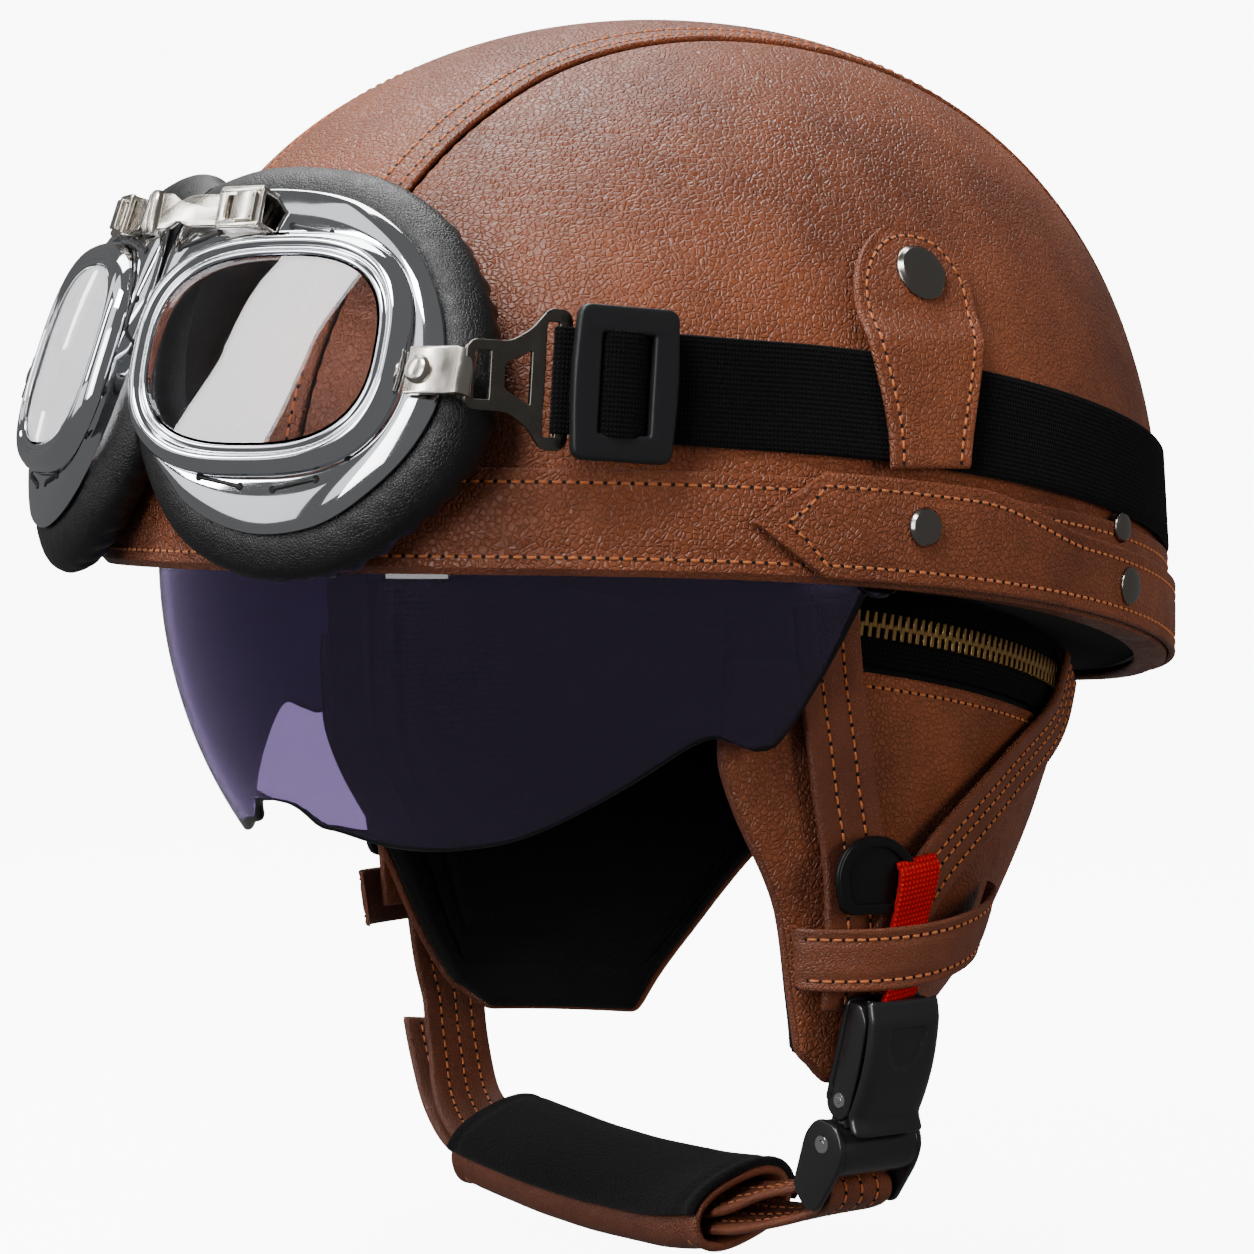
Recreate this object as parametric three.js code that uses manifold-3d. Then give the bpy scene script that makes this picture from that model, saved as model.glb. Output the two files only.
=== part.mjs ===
// A leather-covered half helmet with goggles on an elastic band, a swing-down sun visor,
// a zipped-on ear and neck curtain, and a chin strap closed by a clamp buckle.
// Millimetres. +Z is up, -Y is the helmet's front and +X is the wearer's left.
// The origin is the centre of the head opening, level with the front of the rim.
import * as THREE from 'three';
import { mergeVertices } from 'three/addons/utils/BufferGeometryUtils.js';
import Module from 'manifold-3d';

const wasm = await Module();
wasm.setup();

// Helmet dome, measured over its leather.
const domeHalfWidth = 116;
const domeHalfLength = 138;
const domeHeight = 133;
const domePlanPower = 2.1;
const domeProfilePower = 2.13;
const crownShift = 5;
const crownShiftPower = 1.5;
const rimDrop = 35;
const rimDropPower = 2.55;

// Layers of the dome, from the outside in.
const leatherThickness = 2;
const layerGap = 0.3;
const shellThickness = 3.5;
const linerGap = 0.5;
const sidePadding = 37;
const endPadding = 38;
const topPadding = 17;
const headHalfWidth = domeHalfWidth - sidePadding;
const headHalfLength = domeHalfLength - endPadding;
const headHeight = domeHeight - topPadding;
const linerRimGap = 0.8;

// The seams between the crown panel and the two side panels.
const seamHalfWidth = 37;
const seamFlare = 26;
const seamFlareStart = -60;
const seamGap = 0.5;
const seamCutMargin = 20;

// Bands of leather round the rim.
const bandThickness = 1.8;
const rimBandHeight = 22;
const rimBandRearHeight = 25;
const rimLip = 6;
const rearBandSideHeight = 24;
const rearBandBackHeight = 18;
const rearBandTipY = -55;
const rearBandCornerY = -38;
const rearBandNarrowFrom = 5;
const rearBandNarrowTo = 45;

// Elastic band of the goggles and the two leather tabs that hold it.
const elasticWidth = 25;
const elasticThickness = 1.8;
const elasticSideZ = 33;
const elasticSlope = -0.125;
const elasticBow = -0.00062;
const elasticLeaveY = -45;
const tabBottomWidth = 23;
const tabTopWidth = 36;
const tabTopZ = 78;
const tabBottomZ = 20.8;
const tabThickness = 2;
const tabCentreY = -9;
const tabLean = 0.15;

// Snap fasteners.
const tabSnapRadius = 7;
const bandSnapRadius = 4.6;
const snapHeight = 2.2;
const tabSnapZ = 66;
const tabSnapY = -0.5;
const bandSnapY = -12;
const rearSnapY = 62;
const rearSnapLow = 8;
const rearSnapHigh = 22;

// Sun visor: part of a spheroid turned about its pivot line, so that it slides up inside the shell.
const visorFrontRoom = 20;
const visorSideRoom = 14;
const visorRadius = domeHalfLength - visorFrontRoom;
const visorHalfWidth = domeHalfWidth - visorSideRoom;
const visorThickness = 2.2;
const visorPivotY = -10;
const visorPivotZ = 0;
const visorTopAngle = 7;
const visorSwingAngle = 38;
const visorSpareAngle = 4;
const visorRoomAngle = 75;
const visorClearance = 1.2;
const visorEarShare = 0.0765;
const visorEarRadius = visorRadius * visorEarShare;
const pivotPinRadius = 2.2;
const pivotBossRadius = 5;
const pivotHeadRadius = 4;
const pivotClearance = 0.3;
const bossGap = 1.7;

// Goggles: each eyepiece has a centre and a plane that faces outwards and up.
const eyeInset = 3.6;
const eyeCentreX = 44;
const eyeCentreY = eyeInset - domeHalfLength;
const eyeCentreZ = 46;
const eyeTurnAngle = 20;
const eyeTiltAngle = 18;
const frameHalfWidth = 42;
const frameHalfHeight = 41;
const frameShiftX = -1.5;
const frameThickness = 1.3;
const frameRise = 3;
const bezelHalfWidth = 37;
const bezelHalfHeight = 28.2;
const bezelShiftX = -5;
const bezelWidth = 6;
const bezelHeight = 5;
const lensThickness = 2;
const padBulge = 8;
const padWall = 11;
const padClearance = 4.6;

// Metal that joins the goggles to each other and to the elastic.
const plateThickness = 1.4;
const clipHeight = 10.5;
const clipY = -4.5;
const clipLength = 14.5;
const clipFoldX = 49;
const clipRise = 0.5;
const clipRadius = 3;
const clipRivetRadius = 3.3;
const hookLength = 25;
const hookFrontHeight = 15;
const hookRearHeight = 31;
const hookBar = 2.6;
const adjusterLength = 24;
const adjusterHeight = 33;
const adjusterThickness = 3;
const adjusterBorder = 4.4;
const adjusterBar = 2;
const loopWall = 1.2;
const loopRoom = 0.6;
const bridgeHeight = 9;
const bridgeY = 34.6;
const bridgeReach = 30;
const clampWidth = 12;
const clampHeight = 9.6;

// Ear and neck curtain, its zip and its lining.
const flapDrop = 124;
const napeDrop = 80;
const curtainLeather = 1.8;
const curtainLining = 5;
const zipTapeThickness = 1.2;
const zipTopGap = 0.9;
const zipChainTop = 7.3;
const zipChainHeight = 5.4;
const zipChainThickness = 2.4;
const curtainTop = 20;
const zipEndAngle = 100;
const flapRearStartAngle = 32;
const flapRearEndAngle = 50;
const flapLean = 23;
const flapEndAngle = 105;
const flapCornerStartAngle = 96;
const flapCornerEndAngle = 106;
const flapCornerRise = 7;

// Straps on the ear flaps.
const strapThickness = 1.8;
const strapLift = 1.5;
const buckledStrapEnd = 0.865;
const frontStrapWidth = 18.5;
const rearStrapWidth = 15;
const keeperWidth = 14.5;
const keeperBulge = 10.8;
const dividerWidth = 25;
const dividerHeight = 18;
const dividerThickness = 1.4;
const dividerLift = 6.3;
const ribbonWidth = 10;
const ribbonThickness = 1;
const ribbonLength = 27;

// Clamp buckle and the chin strap.
const buckleY = -1;
const buckleDepthShare = 0.83;
const buckleSeat = 2.5;
const buckleLeanAngle = 17;
const buckleWidth = 22;
const buckleBodyLength = 29;
const buckleDepth = 9;
const buckleWall = 1.6;
const leverThickness = 1.8;
const buckleLoopLength = 17;
const bucklePinRadius = 2.6;
const chinStrapWidth = 20;
const chinStart = 0.79;
const buckleBarRadius = 2;
const chinStrapThickness = 2.2;
const chinPadLength = 104;
const padShift = 2.3;
const chinPadWidth = 31;
const chinPadThickness = 16;
const chinPadWall = 2.2;
const fleeceThickness = 3;
const chinRollAngle = 20;

// Fineness of the faceted surfaces.
const domeColumns = 32;
const domeRows = 5;
const eyeSides = 18;
const capSides = 10;
const curtainColumns = 24;
const curtainRows = 4;

const { sin, cos, abs, max, min, sqrt, PI, hypot } = Math;
const rad = THREE.MathUtils.degToRad;
const lerp = THREE.MathUtils.lerp;
const vec = (x, y, z) => new THREE.Vector3(x, y, z);
const signedPower = (value, power) => Math.sign(value) * abs(value) ** power;
const smooth = (value, from, to) => THREE.MathUtils.smoothstep(value, from, to);

// Reads a table of rows [at, value] by straight lines between its rows.
function readTable(rows, at, column = 1) {
  if (at <= rows[0][0]) return rows[0][column];
  for (let i = 1; i < rows.length; i += 1) {
    if (at <= rows[i][0]) {
      const share = (at - rows[i - 1][0]) / (rows[i][0] - rows[i - 1][0]);
      return lerp(rows[i - 1][column], rows[i][column], share);
    }
  }
  return rows.at(-1)[column];
}

// A closed body between two grids of points. It can close on itself sideways, as a band does,
// and its last row can meet in a pole, as a dome's does.
function slab(columns, rows, outer, inner, { wrap = false } = {}) {
  const points = [];
  const index = new Map();
  const faces = [];
  const vertex = (p) => {
    const key = `${p.x.toFixed(3)},${p.y.toFixed(3)},${p.z.toFixed(3)}`;
    if (!index.has(key)) {
      index.set(key, points.length);
      points.push(p);
    }
    return index.get(key);
  };
  const grid = (surface) => {
    const made = [];
    for (let i = 0; i <= columns; i += 1) {
      const column = [];
      for (let j = 0; j <= rows; j += 1) {
        column.push(vertex(surface((wrap && i === columns ? 0 : i) / columns, j / rows)));
      }
      made.push(column);
    }
    return made;
  };
  const triangle = (a, b, c) => {
    if (a !== b && b !== c && c !== a) faces.push(a, b, c);
  };
  const quad = (a, b, c, d) => {
    triangle(a, b, c);
    triangle(a, c, d);
  };
  const front = grid(outer);
  const back = grid(inner);
  for (let i = 0; i < columns; i += 1) {
    for (let j = 0; j < rows; j += 1) {
      quad(front[i][j], front[i + 1][j], front[i + 1][j + 1], front[i][j + 1]);
      quad(back[i][j], back[i][j + 1], back[i + 1][j + 1], back[i + 1][j]);
    }
    quad(front[i][0], back[i][0], back[i + 1][0], front[i + 1][0]);
    quad(front[i][rows], front[i + 1][rows], back[i + 1][rows], back[i][rows]);
  }
  if (!wrap) {
    for (let j = 0; j < rows; j += 1) {
      quad(front[0][j], front[0][j + 1], back[0][j + 1], back[0][j]);
      quad(front[columns][j], back[columns][j], back[columns][j + 1], front[columns][j + 1]);
    }
  }
  const geometry = new THREE.BufferGeometry();
  geometry.setAttribute('position', new THREE.Float32BufferAttribute(points.flatMap((p) => [p.x, p.y, p.z]), 3));
  geometry.setIndex(faces);
  return facingOut(geometry);
}

// Turns a body's faces round if they point inwards.
function facingOut(geometry) {
  const at = geometry.getAttribute('position');
  const index = geometry.getIndex().array;
  let volume = 0;
  const [a, b, c] = [vec(0, 0, 0), vec(0, 0, 0), vec(0, 0, 0)];
  for (let i = 0; i < index.length; i += 3) {
    a.fromBufferAttribute(at, index[i]);
    b.fromBufferAttribute(at, index[i + 1]);
    c.fromBufferAttribute(at, index[i + 2]);
    volume += a.dot(b.cross(c));
  }
  if (volume < 0) {
    for (let i = 0; i < index.length; i += 3) [index[i + 1], index[i + 2]] = [index[i + 2], index[i + 1]];
  }
  return geometry;
}

// A closed geometry as a solid for cutting and joining, and back again.
function solid(geometry) {
  const bare = geometry.clone();
  bare.deleteAttribute('normal');
  bare.deleteAttribute('uv');
  const merged = mergeVertices(bare, 1e-3);
  const vertProperties = new Float32Array(merged.getAttribute('position').array);
  const triVerts = new Uint32Array(merged.getIndex().array);
  return new wasm.Manifold(new wasm.Mesh({ numProp: 3, vertProperties, triVerts }));
}

function geometryOf(body) {
  const { vertProperties, triVerts } = body.getMesh();
  const geometry = new THREE.BufferGeometry();
  geometry.setAttribute('position', new THREE.BufferAttribute(new Float32Array(vertProperties), 3));
  geometry.setIndex(new THREE.BufferAttribute(new Uint32Array(triVerts), 1));
  return geometry;
}

const joined = (...geometries) => geometryOf(geometries.map(solid).reduce((a, b) => a.add(b)));
const cut = (geometry, ...tools) => geometryOf(tools.map(solid).reduce((a, b) => a.subtract(b), solid(geometry)));

// A flat plate from an outline of [x, y] points, with holes, drawn in XY and thick along +Z.
function plate(outline, thickness, holes = []) {
  const shape = new THREE.Shape(outline.map(([x, y]) => new THREE.Vector2(x, y)));
  for (const hole of holes) shape.holes.push(new THREE.Path(hole.map(([x, y]) => new THREE.Vector2(x, y))));
  return new THREE.ExtrudeGeometry(shape, { depth: thickness, bevelEnabled: false, curveSegments: 6 });
}

const boxBetween = (low, high) => {
  const size = low.map((value, i) => high[i] - value);
  const middle = low.map((value, i) => (high[i] + value) / 2);
  return new THREE.BoxGeometry(...size).translate(...middle);
};

// A rectangle's corners with cut corners, as [x, y] points.
function chamfered(left, right, bottom, top, corner) {
  return [
    [left + corner, bottom], [right - corner, bottom], [right, bottom + corner], [right, top - corner],
    [right - corner, top], [left + corner, top], [left, top - corner], [left, bottom + corner],
  ];
}

// Where a local frame stands: an origin and its three axes.
function frameMatrix(origin, x, y, z) {
  return new THREE.Matrix4().makeBasis(x, y, z).setPosition(origin);
}

// The dome: its outer leather surface at lift 0, by a turn from the rear (90 is the wearer's left) and a height.
function domeShrink(z) {
  const up = min(max(z, 0) / domeHeight, 1);
  return (1 - up ** domeProfilePower) ** (1 / domeProfilePower);
}
const domeShiftAt = (z) => crownShift * (max(z, 0) / domeHeight) ** crownShiftPower;

function domeAt(turn, z, lift = 0) {
  const shrink = domeShrink(z);
  const x = (domeHalfWidth + lift) * shrink * signedPower(sin(turn), 2 / domePlanPower);
  const y = (domeHalfLength + lift) * shrink * signedPower(cos(turn), 2 / domePlanPower) + domeShiftAt(z);
  return vec(x, y, z + (lift * max(z, 0)) / domeHeight);
}

// The turn at which the dome has a given Y, on the wearer's left.
function turnAtY(y, z) {
  const share = (y - domeShiftAt(z)) / (domeHalfLength * domeShrink(z));
  return Math.acos(signedPower(max(-1, min(1, share)), domePlanPower / 2));
}

// Below zero inside the dome grown by lift, above zero outside.
function outsideDome(p, lift) {
  const across = (abs(p.x) / (domeHalfWidth + lift)) ** domePlanPower;
  const along = (abs(p.y - domeShiftAt(p.z)) / (domeHalfLength + lift)) ** domePlanPower;
  const up = (max(p.z, 0) / (domeHeight + lift)) ** domeProfilePower;
  return (across + along) ** (domeProfilePower / domePlanPower) + up - 1;
}

// The point where a line from outside first meets the dome grown by lift.
function meetDome(start, direction, lift, reach) {
  let [near, far] = [0, reach];
  for (let i = 0; i < 40; i += 1) {
    const middle = (near + far) / 2;
    if (outsideDome(start.clone().addScaledVector(direction, middle), lift) > 0) near = middle;
    else far = middle;
  }
  return start.clone().addScaledVector(direction, near);
}

const rimAt = (y) => -rimDrop * max(0, (y + domeHalfLength) / (2 * domeHalfLength)) ** rimDropPower;
const outerNormal = (turn, z) => {
  const step = 0.01;
  const around = domeAt(turn + step, z).sub(domeAt(turn - step, z));
  const up = domeAt(turn, z + 1).sub(domeAt(turn, z));
  return up.cross(around).normalize();
};

const shellOuter = -leatherThickness - layerGap;
const shellInner = shellOuter - shellThickness;
const linerOuter = shellInner - linerGap;
const bandInner = layerGap;
const bandOuter = bandInner + bandThickness;
const rearBandInner = bandOuter + layerGap;
const rearBandOuter = rearBandInner + bandThickness;
const elasticInner = 0.7;
const elasticOuter = elasticInner + elasticThickness;

// A point of a dome-shaped layer, from the rim (row 0) up to the crown (row 1).
function layerPoint(u, v, lift, bottom = 0) {
  const turn = 2 * PI * u;
  const rim = rimAt(domeAt(turn, 0).y) + bottom;
  return domeAt(turn, lerp(rim, domeHeight, sin((v * PI) / 2)), lift);
}

function shell() {
  return slab(domeColumns, domeRows, (u, v) => layerPoint(u, v, shellOuter), (u, v) => layerPoint(u, v, shellInner), { wrap: true });
}

// Half the crown panel's width at a place along the helmet: it flares towards the rear.
function seamAt(y) {
  const share = max(0, (y - seamFlareStart) / (domeHalfLength - seamFlareStart));
  return seamHalfWidth + seamFlare * 1.3 * share ** 1.5;
}

function seamPrism(spread) {
  const reach = domeHalfLength + seamCutMargin;
  const steps = 11;
  const edge = Array.from({ length: steps + 1 }, (_, i) => {
    const y = lerp(-reach, reach, i / steps);
    return [seamAt(y) + spread, y];
  });
  const outline = [...edge, ...edge.map(([x, y]) => [-x, y]).reverse()];
  return plate(outline, domeHeight + 2 * rimDrop + seamCutMargin).translate(0, 0, -2 * rimDrop);
}

// The leather cover: a crown panel from front to rear, and a panel on each side.
function leatherPanels() {
  const cover = solid(slab(domeColumns, domeRows, (u, v) => layerPoint(u, v, 0), (u, v) => layerPoint(u, v, -leatherThickness), { wrap: true }));
  const crown = cover.intersect(solid(seamPrism(-seamGap / 2)));
  const sides = cover.subtract(solid(seamPrism(seamGap / 2))).decompose();
  const isLeft = (body) => body.boundingBox().max[0] > domeHalfWidth / 2;
  return {
    crown: geometryOf(crown),
    left: geometryOf(sides.find(isLeft)),
    right: geometryOf(sides.find((body) => !isLeft(body))),
  };
}

// The visor's surface by an angle across (0 is the middle, 90 the left pivot) and an angle up.
function visorAt(across, up, inset = 0) {
  const radius = (visorRadius - inset) * cos(across);
  return vec((visorHalfWidth - inset) * sin(across), visorPivotY - radius * cos(up), visorPivotZ + radius * sin(up));
}

// The lower edge of the visor in degrees: a notch over the nose, a lobe under each eye and a finger tab.
const visorLowerEdge = [
  // across, up
  [0, -29.5], [5, -30.4], [10, -33.5], [17, -37], [26, -40], [36, -42.2], [48, -43],
  [60, -44.6], [62.2, -47], [63.4, -60], [65, -62], [76, -62], [86, -62],
];

function visorLens() {
  const half = visorLowerEdge.map(([across]) => across);
  const columns = [...half.slice(1).reverse().map((a) => -a), ...half];
  const count = columns.length - 1;
  const point = (u, v, inset) => {
    const across = columns[Math.round(u * count)];
    return visorAt(rad(across), rad(lerp(visorTopAngle, readTable(visorLowerEdge, abs(across)), v)), inset);
  };
  const lens = slab(count, 4, (u, v) => point(u, v, 0), (u, v) => point(u, v, visorThickness));
  const ear = () => new THREE.CylinderGeometry(visorEarRadius, visorEarRadius, visorThickness, 12).rotateZ(PI / 2);
  const hole = () => {
    const radius = pivotPinRadius + pivotClearance;
    return new THREE.CylinderGeometry(radius, radius, 2 * domeHalfWidth + 20, 12).rotateZ(PI / 2).translate(0, visorPivotY, visorPivotZ);
  };
  const earX = visorHalfWidth - visorThickness / 2;
  const ears = [-earX, earX].map((x) => ear().translate(x, visorPivotY, visorPivotZ));
  return cut(joined(lens, ...ears), hole());
}

// The room that the visor sweeps, taken out of the liner.
function visorRoom() {
  const inset = visorThickness + visorClearance;
  const [from, to] = [rad(-visorRoomAngle), rad(visorTopAngle + visorSwingAngle + visorSpareAngle)];
  const wedge = slab(
    16, 4,
    (u, v) => {
      const [across, up] = [rad(lerp(-90, 90, u)), lerp(from, to, v)];
      const radius = 1.6 * visorRadius * cos(across);
      return vec(1.3 * visorHalfWidth * sin(across), visorPivotY - radius * cos(up), visorPivotZ + radius * sin(up));
    },
    (u, v) => visorAt(rad(lerp(-90, 90, u)), lerp(from, to, v), inset),
  );
  const reach = 2 * domeHalfWidth;
  const radius = visorEarRadius + 2 * visorClearance;
  const length = reach - (visorHalfWidth - inset - visorClearance);
  const pocket = (side) => new THREE.CylinderGeometry(radius, radius, length, 14)
    .rotateZ(PI / 2).translate(side * (reach - length / 2), visorPivotY, visorPivotZ);
  return [wedge, pocket(1), pocket(-1)];
}

// The foam liner, with the head's hollow inside and the visor's room in front.
function liner() {
  const outer = (u, v) => layerPoint(u, v, linerOuter, linerRimGap);
  const inner = (u, v) => {
    const turn = 2 * PI * u;
    const bottom = rimAt(domeAt(turn, 0).y) + linerRimGap;
    const z = lerp(bottom, headHeight, sin((v * PI) / 2));
    const shrink = (1 - (max(z, 0) / headHeight) ** domeProfilePower) ** (1 / domeProfilePower);
    const x = headHalfWidth * shrink * signedPower(sin(turn), 2 / domePlanPower);
    return vec(x, headHalfLength * shrink * signedPower(cos(turn), 2 / domePlanPower) + domeShiftAt(z), z);
  };
  return cut(slab(domeColumns, domeRows, outer, inner, { wrap: true }), ...visorRoom());
}

// The pin that carries the visor on one side: a boss on the shell, a shaft and a flat head.
function pivotPin() {
  const shellX = domeAt(turnAtY(visorPivotY, visorPivotZ), visorPivotZ, shellInner).x - bossGap;
  const earOuter = visorHalfWidth + pivotClearance;
  const earInner = visorHalfWidth - visorThickness - pivotClearance;
  const profile = [
    [0, shellX], [pivotBossRadius, shellX], [pivotBossRadius, earOuter], [pivotPinRadius, earOuter],
    [pivotPinRadius, earInner], [pivotHeadRadius, earInner], [pivotHeadRadius - 1, earInner - 1], [0, earInner - 1],
  ].map(([r, x]) => new THREE.Vector2(r, x)).reverse();
  return new THREE.LatheGeometry(profile, 10).rotateZ(-PI / 2).translate(0, visorPivotY, visorPivotZ);
}

// The band of leather that binds the rim and folds under it.
function rimBand() {
  const rows = (turn, lipLift, lift, drop) => {
    const rim = rimAt(domeAt(turn, 0).y);
    const height = lerp(rimBandHeight, rimBandRearHeight, smooth(domeAt(turn, 0).y, 0, domeHalfLength));
    return [
      domeAt(turn, rim - drop, lipLift), domeAt(turn, rim - drop, lift),
      domeAt(turn, rim + height / 2, lift), domeAt(turn, rim + height, lift),
    ];
  };
  return slab(
    domeColumns, 3,
    (u, v) => rows(2 * PI * u, -rimLip, bandOuter, layerGap + bandThickness)[Math.round(v * 3)],
    (u, v) => rows(2 * PI * u, -rimLip, bandInner, layerGap)[Math.round(v * 3)],
    { wrap: true },
  );
}

// The dome's own columns between two equal turns either side of the rear, and those two turns.
function turnsWithin(turn) {
  const step = (2 * PI) / domeColumns;
  const inside = Math.floor(turn / step - 0.2);
  const columns = Array.from({ length: 2 * inside + 1 }, (_, i) => (i - inside) * step);
  return [-turn, ...columns, turn];
}

const rearBandHeightAt = (y) => lerp(rearBandSideHeight, rearBandBackHeight, smooth(y, rearBandNarrowFrom, rearBandNarrowTo));

// The band round the sides and the rear, pointed at both ends.
function rearBand() {
  const corner = turnAtY(rearBandCornerY, 0);
  const tip = turnAtY(rearBandTipY, 0);
  const turns = [-tip, ...turnsWithin(corner), tip];
  const last = turns.length - 1;
  const point = (u, v, lift) => {
    const i = Math.round(u * last);
    const y = domeAt(turns[i], 0).y;
    const atTip = i === 0 || i === last;
    const height = rearBandHeightAt(y);
    return domeAt(turns[i], rimAt(y) - 1 + height * (atTip ? 0.5 : v), lift);
  };
  return slab(last, 2, (u, v) => point(u, v, rearBandOuter), (u, v) => point(u, v, rearBandInner));
}

const elasticZ = (y) => elasticSideZ + elasticSlope * y + elasticBow * y * y;

// The tangent frame where the elastic leaves the dome towards the goggles, on the wearer's left.
function leaveFrame() {
  const turn = turnAtY(elasticLeaveY, elasticZ(elasticLeaveY));
  const z = elasticZ(elasticLeaveY);
  const origin = domeAt(turn, z, (elasticInner + elasticOuter) / 2);
  const forward = eyePoint(clipFoldX, clipY, frameRise + clipRise).sub(origin);
  const reach = forward.length();
  forward.normalize();
  const out = vec(-forward.y, forward.x, 0).normalize();
  if (out.x < 0) out.negate();
  const up = out.clone().cross(forward).normalize();
  if (up.z < 0) up.negate();
  return { origin, forward, out, up, reach, turn };
}

// How far forward the adjuster's bar lies, from where the elastic leaves the dome.
const adjusterBarAt = (reach) => reach + plateThickness / 2 - hookLength - layerGap - adjusterLength / 2;

// The elastic band round the sides and the rear, and straight to the adjuster at each end.
function elasticBand() {
  const { origin, forward, out, up, reach, turn } = leaveFrame();
  const end = adjusterBarAt(reach) - adjusterBar / 2 - loopRoom - loopWall - layerGap;
  const turns = turnsWithin(turn);
  const straight = 2;
  const total = turns.length - 1 + 2 * straight;
  const point = (u, v, lift) => {
    const i = Math.round(u * total);
    const across = (v - 0.5) * elasticWidth;
    const loose = max(straight - i, i - (total - straight), 0) / straight;
    const side = i < total / 2 ? -1 : 1;
    const at = turns[i - straight];
    if (loose === 0) return domeAt(at, elasticZ(domeAt(at, 0).y) + across, lift);
    const middle = (elasticInner + elasticOuter) / 2;
    const p = origin.clone().addScaledVector(forward, loose * end).addScaledVector(up, across).addScaledVector(out, lift - middle);
    return vec(side * p.x, p.y, p.z);
  };
  return slab(total, 2, (u, v) => point(u, v, elasticOuter), (u, v) => point(u, v, elasticInner));
}

// The leather tab on the wearer's left, over the elastic and rounded at the top.
function elasticTab() {
  const centre = (z) => tabCentreY + tabLean * (z - tabBottomZ);
  const radius = tabTopWidth / 2;
  const half = (z) => {
    const straight = lerp(tabBottomWidth, tabTopWidth, smooth(z, tabBottomZ, tabTopZ - radius)) / 2;
    const over = max(0, (z - (tabTopZ - radius)) / radius);
    return straight * sqrt(max(0, 1 - over * over));
  };
  const top = elasticZ(tabCentreY) + elasticWidth / 2;
  const lifted = (z) => lerp(elasticOuter + layerGap, layerGap, smooth(z, top + 4, top + 13));
  const rise = (v) => lerp(tabBottomZ, tabTopZ, sin((v * PI) / 2));
  const point = (u, v, thickness) => {
    const z = rise(v);
    const y = centre(z) + half(z) * (2 * u - 1);
    return domeAt(turnAtY(y, z), z, lifted(z) + thickness);
  };
  return slab(4, 8, (u, v) => point(u, v, tabThickness), (u, v) => point(u, v, 0));
}

// A snap fastener's cap, standing on the dome at a turn, a height and a lift.
function snapCap(radius, turn, z, lift) {
  const profile = [[0, 0], [radius, 0], [radius, snapHeight * 0.5], [radius * 0.6, snapHeight], [0, snapHeight]];
  const cap = new THREE.LatheGeometry(profile.map(([r, h]) => new THREE.Vector2(r, h)), capSides);
  const out = outerNormal(turn, z);
  const spin = new THREE.Quaternion().setFromUnitVectors(vec(0, 1, 0), out);
  const foot = domeAt(turn, z, lift).addScaledVector(out, layerGap + (radius * radius) / (2 * domeHalfWidth));
  return cap.applyQuaternion(spin).translate(foot.x, foot.y, foot.z);
}

// Each eyepiece has a plane: x runs outwards, y up and height towards the front.
const eyeX = vec(cos(rad(eyeTurnAngle)), sin(rad(eyeTurnAngle)), 0);
const eyeN = vec(sin(rad(eyeTurnAngle)) * cos(rad(eyeTiltAngle)), -cos(rad(eyeTurnAngle)) * cos(rad(eyeTiltAngle)), sin(rad(eyeTiltAngle)));
const eyeY = eyeN.clone().cross(eyeX);
const eyeCentre = vec(eyeCentreX, eyeCentreY, eyeCentreZ);

function eyePoint(x, y, height = 0) {
  return eyeCentre.clone().addScaledVector(eyeX, x).addScaledVector(eyeY, y).addScaledVector(eyeN, height);
}

// The eyepiece's outline, as shares of its half width and half height: a flat top and a cut nose side.
const eyeOutline = new THREE.CatmullRomCurve3([
  // x, y
  [1, -0.12], [0.9, 0.3], [0.66, 0.66], [0.3, 0.9], [-0.1, 1], [-0.55, 1], [-0.9, 0.82], [-1, 0.4],
  [-0.98, 0], [-0.86, -0.42], [-0.55, -0.82], [-0.1, -1], [0.36, -0.95], [0.72, -0.7], [0.93, -0.42],
].map(([x, y]) => vec(x, y, 0)), true, 'catmullrom', 0.5);

// A point of the frame's outline, grown by a distance, on the eyepiece's plane.
function onFrame(u, grow, height, halfWidth = frameHalfWidth, halfHeight = frameHalfHeight, shift = frameShiftX) {
  const share = eyeOutline.getPointAt(u % 1);
  return eyePoint(share.x * (halfWidth + grow) + shift, share.y * (halfHeight + grow), height);
}

// A point of the rounder outline of the bezel and the lens.
function onBezel(u, grow, height) {
  const angle = -2 * PI * u;
  const power = 2 / 2.7;
  const x = signedPower(cos(angle), power) * (bezelHalfWidth + grow);
  const y = signedPower(sin(angle), power) * (bezelHalfHeight + grow);
  return eyePoint(x + bezelShiftX, -y, height);
}

// The point of the frame's outline that faces a point of the bezel's.
function besideBezel(u, grow, height) {
  const angle = 2 * PI * u;
  return onFrame(frameShareAt(angle), grow, height);
}

function frameShareAt(angle) {
  let best = 0;
  let least = Infinity;
  const steps = 360;
  for (let i = 0; i < steps; i += 1) {
    const p = eyeOutline.getPointAt(i / steps);
    const off = abs(Math.atan2(Math.sin(Math.atan2(p.y, p.x) - angle), Math.cos(Math.atan2(p.y, p.x) - angle)));
    if (off < least) [least, best] = [off, i / steps];
  }
  return best;
}

// The chrome plate round the lens: it rises from its outer edge to the bezel, and carries the link's clamp.
function goggleFrame() {
  const plateBody = slab(
    eyeSides, 1,
    (u, v) => (v < 0.5 ? besideBezel(u, 0, frameThickness) : onBezel(u, 0.6, frameRise + frameThickness)),
    (u, v) => (v < 0.5 ? besideBezel(u, 0, 0) : onBezel(u, 0.6, frameRise)),
    { wrap: true },
  );
  return joined(plateBody, bridgeClamp());
}

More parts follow.
